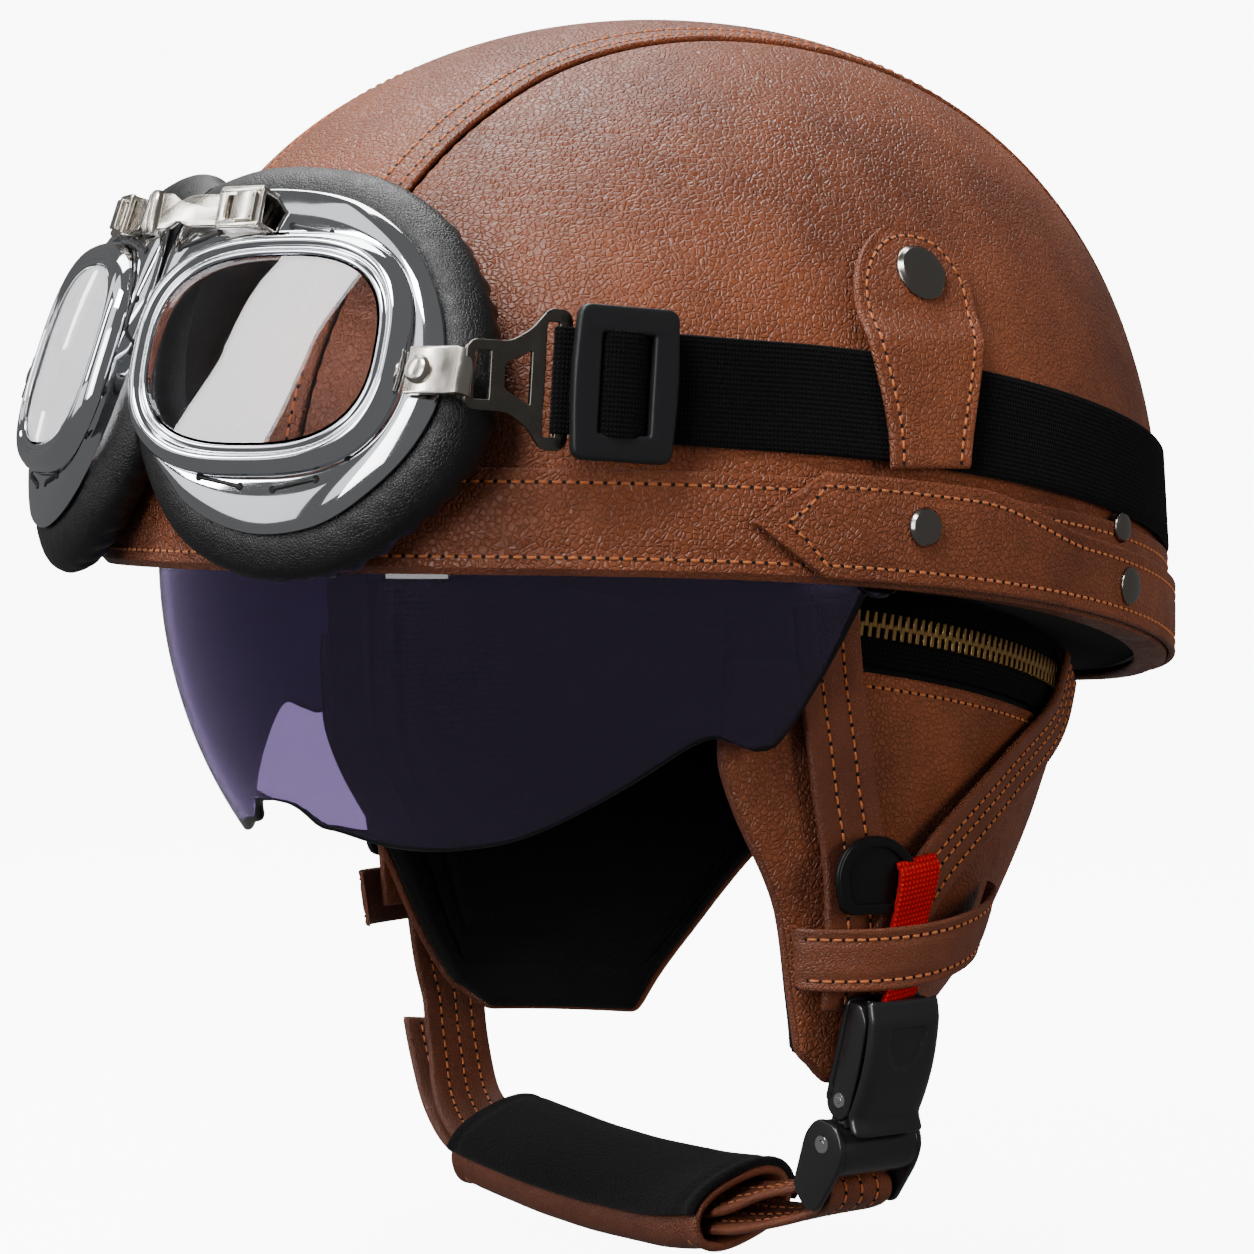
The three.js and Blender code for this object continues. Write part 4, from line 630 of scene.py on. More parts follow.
def mesh_cloth(name, colour, scale, depth):
    made = plain(name, colour, 0.95, Sheen_Weight=0.03, Specular_IOR_Level=0.15)
    place = node(made, "ShaderNodeTexCoord").outputs["Object"]
    dots = node(made, "ShaderNodeTexVoronoi", {"Vector": place, "Scale": scale, "Randomness": 0.35})
    feed(made, "Normal", bump(made, dots.outputs["Distance"], depth))
    return made


elastic_cloth = woven("elastic_cloth", (15, 15, 16), 0.0009, 0.0011, 0.0003)
zip_cloth = woven("zip_cloth", (18, 18, 19), 0.0013, 0.0011, 0.0003, zigzag=0.0026)
red_ribbon = woven("red_ribbon", (236, 18, 22), 0.0012, 0.0009, 0.00035, rough=0.6)
fleece = felt("black_fleece", (20, 20, 21), 1100.0, 0.0006)
foam = felt("black_foam", (12, 12, 13), 700.0, 0.0003)
lining_cloth = mesh_cloth("lining_cloth", (20, 20, 21), 620.0, 0.0002)


# %% Mix the metals, plastics and glass
def metal(name, colour, rough, wear=0.0, scale=220.0):
    made = plain(name, colour, rough, Metallic=1.0)
    if wear:
        place = node(made, "ShaderNodeTexCoord").outputs["Object"]
        marks = node(made, "ShaderNodeTexNoise", {"Vector": place, "Scale": scale, "Detail": 5.0})
        gloss = node(made, "ShaderNodeMapRange", {"Value": marks.outputs[0], "From Min": 0.35,
                                                  "From Max": 0.7, "To Min": rough,
                                                  "To Max": rough + wear})
        feed(made, "Roughness", gloss.outputs[0])
    return made


chrome = metal("chrome", (222, 225, 230), 0.03, 0.05, 90.0)
nickel = metal("nickel", (205, 198, 188), 0.16, 0.14)
dark_nickel = metal("dark_nickel", (120, 115, 108), 0.24, 0.16)
snap_metal = metal("snap_metal", (150, 144, 138), 0.16, 0.08)
rivet_metal = metal("rivet_metal", (240, 238, 236), 0.08)
brass = metal("brass", (214, 170, 108), 0.26, 0.12, 900.0)
satin_plastic = plain("satin_plastic", (30, 30, 32), 0.42, Specular_IOR_Level=0.35)
shell_plastic = plain("shell_plastic", (16, 16, 18), 0.4)
gloss_black = plain("gloss_black", (30, 29, 31), 0.28, Coat_Weight=0.4, Coat_Roughness=0.1)
divider_black = plain("divider_black", (13, 13, 14), 0.4, Specular_IOR_Level=0.35)
# Near-black for the discs at needle and lace holes: painted shade inside each hole.
hole_shade_black = plain("hole_shade_black", (10, 7, 6), 0.9)
orange_thread = plain("orange_thread", (196, 106, 46), 0.6, Sheen_Weight=0.3)
black_thread = plain("black_thread", (14, 14, 15), 0.55)
smoked_lens = plain("smoked_lens", (45, 36, 58), 0.015, Transmission_Weight=1.0, IOR=1.49)
clear_lens = plain("clear_lens", (224, 224, 228), 0.01, Transmission_Weight=1.0, IOR=1.49)
print("finishes", len(bpy.data.materials))


# %% [markdown]
# ## The studio floor
# A sweep is a floor that curves up into a wall. A bent sheet of paper does this in a real studio:
# the curve is wide and soft, so its shading changes slowly and no corner shows.


# %% Lay the sweep
def sweep():
    across = np.linspace(-6, 6, 3)
    floor, bend = -0.178, 0.9
    curve = [(-1.6 - bend * np.sin(a), floor + bend * (1 - np.cos(a))) for a in np.linspace(0.08, 1.57, 20)]
    ahead = np.concatenate([[(3.0, floor)], [(-1.6, floor)], curve, [(-2.5, 6.0)]])
    toward = np.array([0.783, -0.622])
    beside = np.array([0.622, 0.783])
    verts = [(*(toward * distance + beside * a), height) for a in across for distance, height in ahead]
    faces = grid_faces(len(across), len(ahead), False)
    mesh = bpy.data.meshes.new("sweep")
    mesh.from_pydata(verts, [], faces.tolist())
    mesh.shade_smooth()
    paper = bpy.data.objects.new("sweep", mesh)
    scene.collection.objects.link(paper)
    paper_finish = plain("white_paper", (246, 246, 247), 0.9, Emission_Strength=9.0)
    paper_finish.node_tree.nodes["Principled BSDF"].inputs["Emission Color"].default_value = (1, 1, 1, 1)
    mesh.materials.append(paper_finish)
    # The paper lights only itself, so that it stays white while the helmet keeps its dark sides.
    paper.visible_diffuse = paper.visible_glossy = False
    return paper


sweep()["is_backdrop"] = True


# %% Stand up a white card
def white_card(name, place, aim, width, height, glow):
    """A glowing card that the camera doesn't see, for the chrome to mirror."""
    mesh = bpy.data.meshes.new(name)
    x, y = width / 2, height / 2
    mesh.from_pydata([(-x, -y, 0), (x, -y, 0), (x, y, 0), (-x, y, 0)], [], [(0, 1, 2, 3)])
    card = bpy.data.objects.new(name, mesh)
    scene.collection.objects.link(card)
    card.location = place
    card.rotation_mode = "QUATERNION"
    card.rotation_quaternion = (Vector(aim) - Vector(place)).to_track_quat("-Z", "Y")
    paint = plain(name, (240, 240, 240), 0.9, Emission_Strength=glow)
    paint.node_tree.nodes["Principled BSDF"].inputs["Emission Color"].default_value = (1, 1, 1, 1)
    mesh.materials.append(paint)
    card.visible_diffuse = False
    return card


# Four cards stand round the line along which the goggles mirror the camera. The plates lean
# outwards and mirror the cards, while the flat lenses look between them into the dark.
for name, across, up, width, height, glow in (
    ("card_left", -0.85, 0.0, 0.7, 1.9, 1.2), ("card_right", 0.8, 0.05, 0.6, 1.5, 1.0),
    ("card_below", 0.0, -0.75, 0.9, 0.55, 0.9), ("card_above", 0.0, 0.85, 0.9, 0.6, 1.1),
):
    away = Vector((-0.33, -0.81, 0.49)).normalized()
    beside = away.cross(Vector((0, 0, 1))).normalized()
    place = Vector((0.044, -0.134, 0.046)) + 1.5 * away + across * beside + up * beside.cross(away)
    white_card(name, place, (0.044, -0.134, 0.046), width, height, glow)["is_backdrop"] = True

# %% [markdown]
# ## The shell and its foam
# A hard plastic shell carries everything, and a foam liner fills it down to the head. The liner has a
# pocket in front into which the visor swings up. Its outside is the shell's inside, pressed in
# wherever the visor's turning surface would pass.

# %% Size the visor's surface
VISOR_RADIUS, VISOR_HALF_WIDTH, VISOR_THICKNESS, PIVOT_Y = 118.0, 102.0, 2.2, -10.0
VISOR_TOP = 7.0


def visor_surface(across, up, inset=0.0):
    radius = (VISOR_RADIUS - inset) * np.cos(across)
    return point((VISOR_HALF_WIDTH - inset) * np.sin(across), PIVOT_Y - radius * np.cos(up),
                 radius * np.sin(up))


def make_visor_room(p):
    """Presses points in where the visor passes between its two positions."""
    x, back, z = p[..., 0], -(p[..., 1] - PIVOT_Y), p[..., 2]
    reach = np.hypot(back, z)
    room = VISOR_THICKNESS + 1.4
    widest = VISOR_HALF_WIDTH - room - 0.4
    # The visor's ears reach a little behind the pivot, so the sides are pressed in there too.
    ear_reach = 13.0
    below = np.degrees(np.arctan2(z, back + ear_reach)) < 54
    beside = (back > -ear_reach) & (z > -60) & below & (reach < VISOR_RADIUS)
    x = np.where(beside, np.clip(x, -widest, widest), x)
    share = np.clip(1 - (x / (VISOR_HALF_WIDTH - room)) ** 2, 0, 1)
    allowed = (VISOR_RADIUS - room) * np.sqrt(share)
    up = np.degrees(np.arctan2(z, back))
    inside = (1 - smooth(up, 50, 54)) * (up > -89) * (reach > allowed) * (share > 0)
    factor = 1 + inside * (np.maximum(allowed, 1) / np.maximum(reach, 1e-6) - 1)
    return point(x, PIVOT_Y - back * factor, z * factor)


# %% Make the shell and the liner
def dome_layer(u, v, lift, rise=0.0):
    turn = 2 * np.pi * u
    bottom = rim_at(turn) + rise
    return dome(turn, bottom + (HEIGHT - bottom) * np.sin(v * np.pi / 2), lift)


make_piece("shell_dome", [leaf(lambda u, v, h: dome_layer(u, v, SHELL_OUT - SHELL + h), (800, 190),
                               (112, 30), SHELL, wrap=True)],
           shell_plastic, "shell", ["shell"])


def liner_part():
    counts = (128, 44)
    u, v = np.meshgrid(np.linspace(0, 1, counts[0] + 1)[:-1], np.linspace(0, 1, counts[1] + 1),
                       indexing="ij")
    outer = make_visor_room(dome_layer(u, v, SHELL_IN - 0.5, 0.8))
    turn, bottom = 2 * np.pi * u, rim_at(2 * np.pi * u) + 0.8
    z = bottom + (116 - bottom) * np.sin(v * np.pi / 2)
    shrink = (1 - np.clip(np.maximum(z, 0) / 116, 0, 1) ** PROFILE_POWER) ** (1 / PROFILE_POWER)
    inner = point(79 * shrink * power(np.sin(turn), 2 / PLAN_POWER),
                  100 * shrink * power(np.cos(turn), 2 / PLAN_POWER) + dome_shift(z), z)
    ends = np.linspace(0, 1, 9)[1:-1, None, None]
    fold = outer[None, :, 0] + (inner[:, 0] - outer[:, 0])[None] * ends
    fold[..., 2] -= 0.3 * np.sin(np.pi * ends[..., 0])
    rows = np.concatenate([outer[:, ::-1], fold.transpose(1, 0, 2), inner], axis=1)
    return rows.reshape(-1, 3), grid_faces(counts[0], rows.shape[1], True), None


make_piece("foam_liner", [liner_part()], foam, "liner", ["liner"])
print("shell and liner made")

# %% [markdown]
# ## Leather over the dome
# Three leather panels cover the shell. The crown runs from the front to the rear and gets wider
# there, and a side panel closes each side. Each panel is one leaf stretched between two edge curves
# and thrown outwards onto the dome. The crown's turned edge stands a little proud of the side panel,
# with a dark groove beside it and two rows of stitches along it.


# %% Find the crown's seam
SEAM_FRONT, SEAM_REAR = 0.02, np.pi + 0.2


def seam_x(y):
    return 37.0 + 33.8 * np.maximum(0, (y + 60) / 198) ** 1.5


def seam_point(angle, spread=0.0):
    near, far = np.zeros_like(angle), np.full_like(angle, 250.0)
    for _ in range(40):
        middle = (near + far) / 2
        y, z = -middle * np.cos(angle), middle * np.sin(angle)
        out = outside_dome(point(seam_x(y) + spread, y, z)) > 0
        near, far = np.where(out, near, middle), np.where(out, middle, far)
    y, z = -near * np.cos(angle), near * np.sin(angle)
    return point(seam_x(y) + spread, y, z)


def lerp(a, b, share):
    return a + (b - a) * share


def crown(u, v, lift):
    edge = seam_point(lerp(SEAM_FRONT, SEAM_REAR, u), -0.5)
    fold = np.clip(1 - (1 - np.abs(2 * v - 1)) * edge[..., 0] / 5.0, 0, 1)
    raised = lift - LEATHER + 0.25 + 0.75 * fold * fold
    return cast_on_dome(edge * point(2 * v - 1, 1, 1), raised)


def side_panel(u, v, lift):
    seam = seam_point(lerp(SEAM_REAR, SEAM_FRONT, u), 0.5)
    ends = seam_point(np.array([SEAM_REAR, SEAM_FRONT]))
    turns = turn_at(ends[:, 1], 0)
    turn = lerp(turns[0] + 0.004, turns[1] - 0.004, u)
    foot = dome(turn, rim_at(turn) + 2.0)
    return cast_on_dome(lerp(foot, seam, v[..., None]), lift - LEATHER)


# %% Lay the panels
make_piece("crown_leather", [leaf(crown, (400, 96), (150, 44), LEATHER)], brown_leather, "leather",
           ["crown_panel"])
make_pair("side_leather", [leaf(side_panel, (400, 150), (130, 42), LEATHER)], brown_leather, "leather",
          "side_panel")

for inset in (3.4, 9.2):
    run = np.linspace(0.03, 0.97, 400)
    width = seam_point(lerp(SEAM_FRONT, SEAM_REAR, run))[:, 0]
    for edge in (1, -1):
        sew_on(crown, run, 0.5 + edge * (0.5 - inset / (2 * width)), LEATHER, pitch=3.1, width=0.33)
groove = np.linspace(0.03, 0.97, 400)
for edge in (1, -1):
    line = seam_point(lerp(SEAM_FRONT, SEAM_REAR, groove), 0.25) * [edge, 1, 1]
    sew(line, unit(line), pitch=5.2, width=0.25, sink=0.75)
print("dome panels", len(threads), "rows of stitches")

# %% [markdown]
# ## Bands round the rim
# One band binds the rim: it folds under the edge and climbs about two centimetres up the outside.
# A second band with an arrow tip at each end lies over it round the sides and the back. Both have a
# stitch row near each edge, since a row pulls the leather down and gives the edge its soft roll.


# %% Bind the rim
def rim_height(y):
    return lerp(22.0, 25.0, smooth(y, 0, HALF_LENGTH))


def rim_band(u, v, lift):
    turn = 2 * np.pi * u
    height = rim_height(dome(turn, 0.0)[..., 1])
    length = 6.5 + 1.6 + height
    s = v * length
    under, bend = np.clip(s, 0, 6.5), np.clip((s - 6.5) / 1.6, 0, 1) * np.pi / 2
    climb = np.clip(s - 8.1, 0, None)
    across, up = lift - BAND / 2, climb
    pull = 0.35 * np.exp(-((s - 11.5) / 1.6) ** 2) + 0.35 * np.exp(-((s - length + 3.2) / 1.6) ** 2)
    outwards = -6.3 + under + (1.1 + across) * np.sin(bend) - pull
    upwards = -0.1 + up - (1.1 + across) * np.cos(bend)
    return dome(turn, rim_at(turn) + upwards, outwards + 0.1)


rim_sizes = (800, 31.5)
make_piece("rim_binding", [leaf(rim_band, rim_sizes, (180, 24), BAND, wrap=True)], brown_leather,
           "leather", ["rim_band"])
around = np.linspace(0, 1, 900)
for start in (0.34, 0.895):
    sew_on(rim_band, around, start, BAND, pitch=3.1, width=0.33)


# %% Lay the rear band
def rear_height(y):
    return lerp(24.0, 18.0, smooth(y, 5, 45))


BAND_CORNER, BAND_TIP = (float(turn_at(np.array(y), 0)) for y in (-38.0, -55.0))


def rear_band(u, v, lift):
    turn = BAND_TIP * (2 * u - 1)
    height = rear_height(dome(turn, 0.0)[..., 1])
    point_share = np.clip((BAND_TIP - np.abs(turn)) / (BAND_TIP - BAND_CORNER), 0.02, 1)
    lower = rim_at(turn) - 1 + height * (0.5 + (v - 0.5) * point_share)
    inset = np.minimum(v, 1 - v) * height * point_share
    pull = 0.35 * np.exp(-((inset - 3.2) / 1.4) ** 2)
    return dome(turn, lower, REAR_BAND_LIFT + lift - pull)


def band_row(inset):
    """Positions of a stitch row that stays inside the band's edge, round both arrow tips."""
    turns = np.linspace(-BAND_CORNER, BAND_CORNER, 400)
    height = rear_height(dome(turns, 0.0)[..., 1])
    tips = (BAND_CORNER + (BAND_TIP - BAND_CORNER) * (1 - inset * 1.5 / 12)) / BAND_TIP
    low, high = inset / height, 1 - inset / height
    u = (turns / BAND_TIP + 1) / 2
    first, last = (1 - tips) / 2, (1 + tips) / 2
    around = np.concatenate([[first], u, [last], u[::-1], [first]])
    return around, np.concatenate([[0.5], low, [0.5], high[::-1], [0.5]])


make_piece("rear_binding", [leaf(rear_band, (520, 22), (190, 18), BAND)], brown_leather, "leather",
           ["rear_band"])
row_u, row_v = band_row(3.2)
steps = np.linspace(0, len(row_u) - 1, 2400)
row_u, row_v = (np.interp(steps, np.arange(len(row)), row) for row in (row_u, row_v))
sew_on(rear_band, row_u, row_v, BAND, pitch=3.0, width=0.34)

# %% [markdown]
# ## The elastic and its leather tabs
# The goggles hang on a wide black elastic that hugs the dome and leaves it in a straight line in
# front. Its path is a row of points that follows both parts and is then averaged, so that the bend
# where it leaves the dome is soft. A leather tab on each side is snapped down over it.


# %% Lay the elastic
def elastic_z(y):
    return 33.0 - 0.125 * y - 0.00062 * y * y


LEAVE_TURN = float(turn_at(np.array(-45.0), elastic_z(-45.0)))
LEAVE_POINT = dome(np.array(LEAVE_TURN), elastic_z(-45.0), ELASTIC_LIFT + ELASTIC / 2)
CLIP_POINT = eye_at(49.0, -4.5, 3.5)
REACH = float(np.linalg.norm(CLIP_POINT - LEAVE_POINT))
FORWARD = unit(CLIP_POINT - LEAVE_POINT)
OUTWARD = unit(np.array([-FORWARD[1], FORWARD[0], 0])) * (1 if -FORWARD[1] > 0 else -1)
UPWARD = np.cross(OUTWARD, FORWARD)
UPWARD = UPWARD * np.sign(UPWARD[2])
HOOK_FRONT = REACH + 0.7
SLIDER_FRONT = HOOK_FRONT - 25.0 - 0.3
SLIDER_REAR = SLIDER_FRONT - 24.0


def strap_place(x, up, out):
    """A point of the straight part on the wearer's left: x runs forwards along the elastic."""
    x, up, out = np.broadcast_arrays(x, up, out)
    return LEAVE_POINT + x[..., None] * FORWARD + up[..., None] * UPWARD + out[..., None] * OUTWARD


def elastic_path():
    turns = np.linspace(0, LEAVE_TURN, 160)
    y = dome(turns, 0.0)[..., 1]
    lines = [dome(turns, elastic_z(y) + offset, ELASTIC_LIFT + ELASTIC / 2)
             for offset in (-ELASTIC_WIDTH / 2, ELASTIC_WIDTH / 2)]
    ahead = np.linspace(1.5, SLIDER_FRONT - 9.0, 22)
    low, high = (np.vstack([line, strap_place(ahead, offset, 0)])
                 for line, offset in zip(lines, (-ELASTIC_WIDTH / 2, ELASTIC_WIDTH / 2)))
    leaving = (np.arange(1, len(low) - 1) > 145)[:, None]
    for _ in range(30):
        for line in (low, high):
            line[1:-1] += 0.5 * ((line[:-2] + line[2:]) / 2 - line[1:-1]) * leaving
    mirrored = [np.vstack([(line[1:] * [-1, 1, 1])[::-1], line]) for line in (low, high)]
    return mirrored


ELASTIC_LOW, ELASTIC_HIGH = elastic_path()
ELASTIC_STEPS = distances((ELASTIC_LOW + ELASTIC_HIGH) / 2)


def elastic(u, v, lift):
    at = u * ELASTIC_STEPS[-1]
    low, high = read_line(ELASTIC_LOW, ELASTIC_STEPS, at), read_line(ELASTIC_HIGH, ELASTIC_STEPS, at)
    ahead = read_line(ELASTIC_LOW, ELASTIC_STEPS, at + 1) - read_line(ELASTIC_LOW, ELASTIC_STEPS, at - 1)
    out = unit(np.cross(ahead, high - low))
    return lerp(low, high, v[..., None]) + out * (lift - ELASTIC / 2)[..., None]


middle = np.array(0.5)
flip = np.sign(elastic(middle, middle, np.array(2.0))[1] - elastic(middle, middle, np.array(0.0))[1])


def elastic_out(u, v, h):
    return elastic(u, v, ELASTIC / 2 + flip * (h - ELASTIC / 2) + 0 * v)


make_piece("elastic_strap", [leaf(elastic_out, (ELASTIC_STEPS[-1], ELASTIC_WIDTH), (240, 10), ELASTIC,
                                  rounding=0.8)],
           elastic_cloth, "elastic", ["elastic_band"])
print("elastic", round(float(ELASTIC_STEPS[-1])), "mm")


# %% Lay the tabs
def tab_half(z):
    straight = lerp(23.0, 36.0, smooth(z, 20.8, 60.0)) / 2
    return straight * np.sqrt(np.clip(1 - np.clip((z - 60) / 18, 0, 1) ** 2, 0, 1))


def tab(u, v, lift):
    z = 20.8 + 57.2 * v
    over = np.clip((v - 0.685) / 0.315, 0, 1)
    z = np.where(v > 0.685, 60 + 18 * np.sin(over * np.pi / 2), z)
    y = -9 + 0.15 * (z - 20.8) + tab_half(z) * (2 * u - 1)
    edge = np.minimum(np.minimum(u, 1 - u) * 2 * np.maximum(tab_half(z), 1e-3), (78 - z) * 1.2)
    top = elastic_z(-9.0) + ELASTIC_WIDTH / 2
    seat = lerp(ELASTIC_LIFT + ELASTIC + 0.3, 0.3, smooth(z, top + 2, top + 12))
    return dome(turn_at(y, z), z, seat + lift - 0.35 * np.exp(-((edge - 3.2) / 1.3) ** 2))


tab_parts = [leaf(tab, (32, 60), (30, 48), 2.0)]
make_pair("goggle_tab", tab_parts, brown_leather, "leather", "elastic_tab")


def tab_row(inset=3.2):
    z = np.concatenate([np.linspace(22.0, 60.0, 90),
                        60 + (18 - inset) * np.sin(np.linspace(0, np.pi / 2, 50)[1:])])
    half = np.where(z <= 60, tab_half(np.minimum(z, 60)) - inset,
                    (18 - inset) * np.sqrt(np.clip(1 - ((z - 60) / (18 - inset)) ** 2, 0, 1)))
    share = half / (2 * np.maximum(tab_half(z), 1e-3))
    bend = np.arcsin(np.clip((z - 60) / 18, 0, 1)) / (np.pi / 2)
    v = np.where(z <= 60, (z - 20.8) / 57.2, 0.685 + 0.315 * bend)
    return np.concatenate([0.5 - share, (0.5 + share)[::-1]]), np.concatenate([v, v[::-1]])


tab_u, tab_v = tab_row()
sew_both_sides(tab, tab_u, tab_v, 2.0, pitch=2.9, width=0.34)


# %% [markdown]
# ## Snaps and rivets
# A snap cap is pressed from thin sheet metal: a low dome with a rolled edge. It is turned like a pot
# from a half profile, and its foot is sunk a little so that the leather seems to be squeezed by it.

# %% Turn the snaps
def turned(profile, place, out, sides=48):
    """Spins (radius, height) rows about the direction out."""
    out = unit(np.asarray(out, float))
    side = unit(np.cross(out, [0.3, 0.2, 1.0]))
    other = np.cross(out, side)
    radius, height = np.array(profile, float).T
    angle = np.linspace(0, 2 * np.pi, sides, endpoint=False)
    spokes = np.cos(angle)[:, None, None] * side + np.sin(angle)[:, None, None] * other
    verts = np.asarray(place) + radius[None, :, None] * spokes + height[None, :, None] * out
    return verts.reshape(-1, 3), grid_faces(sides, len(radius), True), None


def cap_profile(radius, height):
    arc = np.linspace(0, np.pi / 2, 9)
    dome_rows = [(radius * 0.9 * np.cos(a), height * (0.55 + 0.45 * np.sin(a) ** 0.8)) for a in arc]
    return [(0, -0.5), (radius * 0.9, -0.5), (radius, 0), (radius * 1.01, height * 0.2),
            (radius * 0.97, height * 0.42)] + dome_rows


def snap_part(radius, y, z, lift, height=2.0):
    turn = turn_at(np.array(float(y)), z)
    foot = dome(turn, z, lift)
    out = np.cross(dome(turn, z + 1.0, lift) - foot,
                   dome(turn + 0.01, z, lift) - dome(turn - 0.01, z, lift))
    out = out * np.sign(out[0])
    return turned(cap_profile(radius, height), foot, out)


SNAPS = [
    # node, radius, y, z, lift
    ("tab_snap", 7.0, -0.5, 66.0, 2.3), ("band_snap", 4.6, -12.0, float(rim(-12.0)) + 12.5, 4.2),
    ("rear_snap_low", 4.6, 62.0, float(rim(62.0)) + 8.0, 4.2),
    ("rear_snap_high", 3.7, 62.0, float(rim(62.0)) + 22.0, 2.1),
]
for name, radius, y, z, lift in SNAPS:
    make_pair(f"{name}_cap", [snap_part(radius, y, z, lift)], snap_metal, "gunmetal", name)
print("snaps", 2 * len(SNAPS))

# %% [markdown]
# ## Goggles
# Each eyepiece is a pressed chrome plate, a raised chrome ring that holds the lens, and a padded
# leather cushion behind. The plate and the ring are swept round two outlines: rows of numbers give a
# section, and every row travels round the eyepiece. Short black threads lace the cushion to the plate.

# %% Press the plate and the ring
FRAME, FRAME_RISE = 1.3, 3.0
RING_LOW = FRAME_RISE + FRAME + 0.3
RING_WIDTH = 6.0


def frame_surface(u, v, h):
    angle = 2 * np.pi * u
    outer, inner = frame_outline(angle), bezel_outline(angle, 0.6)
    rise = FRAME_RISE * np.sin(np.clip(v, 0, 1) * np.pi / 2) ** 0.8
    return eye_point(lerp(outer[0], inner[0], v), lerp(outer[1], inner[1], v), rise + h)


plate_part = leaf(frame_surface, (250, 12), (160, 16), FRAME, wrap=True, rounding=0.6)

RING_SECTION = [
    # grow, height
    (0.9, 0.0), (1.05, 0.8), (0.7, 2.2), (-0.2, 3.6), (-1.4, 4.7), (-2.3, 4.95), (-3.0, 4.6),
    (-3.35, 3.9), (-3.6, 3.55),
    (-4.0, 3.7), (-4.5, 4.3), (-5.1, 4.4), (-5.6, 3.9), (-5.9, 2.9), (-6.0, 1.6), (-5.9, 0.0),
]


def swept_ring(section, outline, low, count=180, refine=2):
    section = np.array(section, float)
    steps = np.linspace(0, len(section) - 1, refine * (len(section) - 1) + 1)
    grow = np.interp(steps, np.arange(len(section)), section[:, 0])
    height = np.interp(steps, np.arange(len(section)), section[:, 1])
    for _ in range(3):
        grow[1:-1] = (grow[:-2] + 2 * grow[1:-1] + grow[2:]) / 4
        height[1:-1] = (height[:-2] + 2 * height[1:-1] + height[2:]) / 4
    angle = np.linspace(0, 2 * np.pi, count, endpoint=False)[:, None]
    x, y = outline(angle, grow[None, :])
    verts = eye_point(x, y, low + height[None, :])
    faces = grid_faces(count, len(grow), True)
    return verts.reshape(-1, 3), np.vstack([faces, close_rows(count, len(grow))]), None


make_pair("eye_plate", [plate_part], chrome, "chrome", "goggle_frame")
make_pair("eye_ring", [swept_ring(RING_SECTION, bezel_outline, RING_LOW)], chrome, "chrome",
          "goggle_bezel")


# %% Blow the lens
def lens_part():
    base = RING_LOW + 1.5
    angle = np.linspace(0, 2 * np.pi, 128, endpoint=False)[:, None]

    def side(thick):
        x, y = bezel_outline(angle, -RING_WIDTH)
        share = np.linspace(1, 0.002, 22)[None, :]
        bow = 0.35 * (1 - share**2) + 0.5
        return eye_point((x + 5.0) * share - 5.0, y * share, base + thick + bow * np.ones_like(x))

    front, back = side(2.0), side(0.0)
    rows = np.concatenate([back[:, ::-1], front], axis=1)
    count = rows.shape[1]
    return rows.reshape(-1, 3), grid_faces(128, count, True), None


make_pair("eye_lens", [lens_part()], clear_lens, "clear_lens", "goggle_lens", caps=True)

# %% Lace the plate to the cushion
SLOTS = [
    # from x, from y, to x, to y
    (-6.0, 31.1, 5.4, 28.9), (15.4, 24.6, 24.9, 16.1), (28.0, -15.3, 21.2, -24.2),
    (13.6, -29.3, 2.3, -31.7), (-7.0, -31.1, -18.8, -29.0),
    (-26.5, 30.0, -37.0, 26.5), (-42.0, 14.5, -43.5, 2.5), (-42.0, -8.0, -37.5, -19.0),
]


def plate_grid():
    u, v = np.meshgrid(np.linspace(0, 1, 400), np.linspace(0, 1, 60), indexing="ij")
    p = frame_surface(u, v, np.full_like(u, FRAME)).reshape(-1, 3) - EYE_CENTRE
    return p @ EYE_X, p @ EYE_Y, p @ EYE_N


PLATE_X, PLATE_Y, PLATE_N = plate_grid()


def plate_height(x, y):
    x, y = np.atleast_1d(x), np.atleast_1d(y)
    nearest = [np.argmin((PLATE_X - a) ** 2 + (PLATE_Y - b) ** 2) for a, b in zip(x, y)]
    return PLATE_N[nearest]


def rod(points, radius, sides=10):
    """A round rod along points; its two open ends are closed when the piece is made with caps."""
    points = np.asarray(points, float)
    ahead = unit(np.gradient(points, axis=0))
    side = unit(np.cross(ahead, [0.13, 0.31, 0.94]))
    other = np.cross(ahead, side)
    angle = np.linspace(0, 2 * np.pi, sides, endpoint=False)
    radius = np.broadcast_to(np.asarray(radius, float), (len(points),))
    rings = points[:, None] + radius[:, None, None] * (
        np.cos(angle)[None, :, None] * side[:, None] + np.sin(angle)[None, :, None] * other[:, None])
    return tube_round(rings)


lacing, lace_holes = [], []
for x0, y0, x1, y1 in SLOTS:
    share = np.linspace(0, 1, 12)
    x, y = lerp(x0, x1, share), lerp(y0, y1, share)
    arch = 0.55 * np.sin(np.pi * share) ** 0.4 - 0.35
    lacing.append(rod(eye_point(x, y, plate_height(x, y) + arch), 0.5))
    for ex, ey in ((x0, y0), (x1, y1)):
        # Each slot end gets a dark disc: painted shade where the lace goes through the plate.
        lace_holes.append(turned([(0.0, 0.16), (0.9, 0.16), (1.05, -0.4)],
                                 eye_at(ex, ey, plate_height(ex, ey)[0]), EYE_N, 20))
make_pair("eye_lacing", lacing, black_thread, "black_leather", caps=True)
make_pair("eye_lace_hole_shade", lace_holes, hole_shade_black, "black_leather")


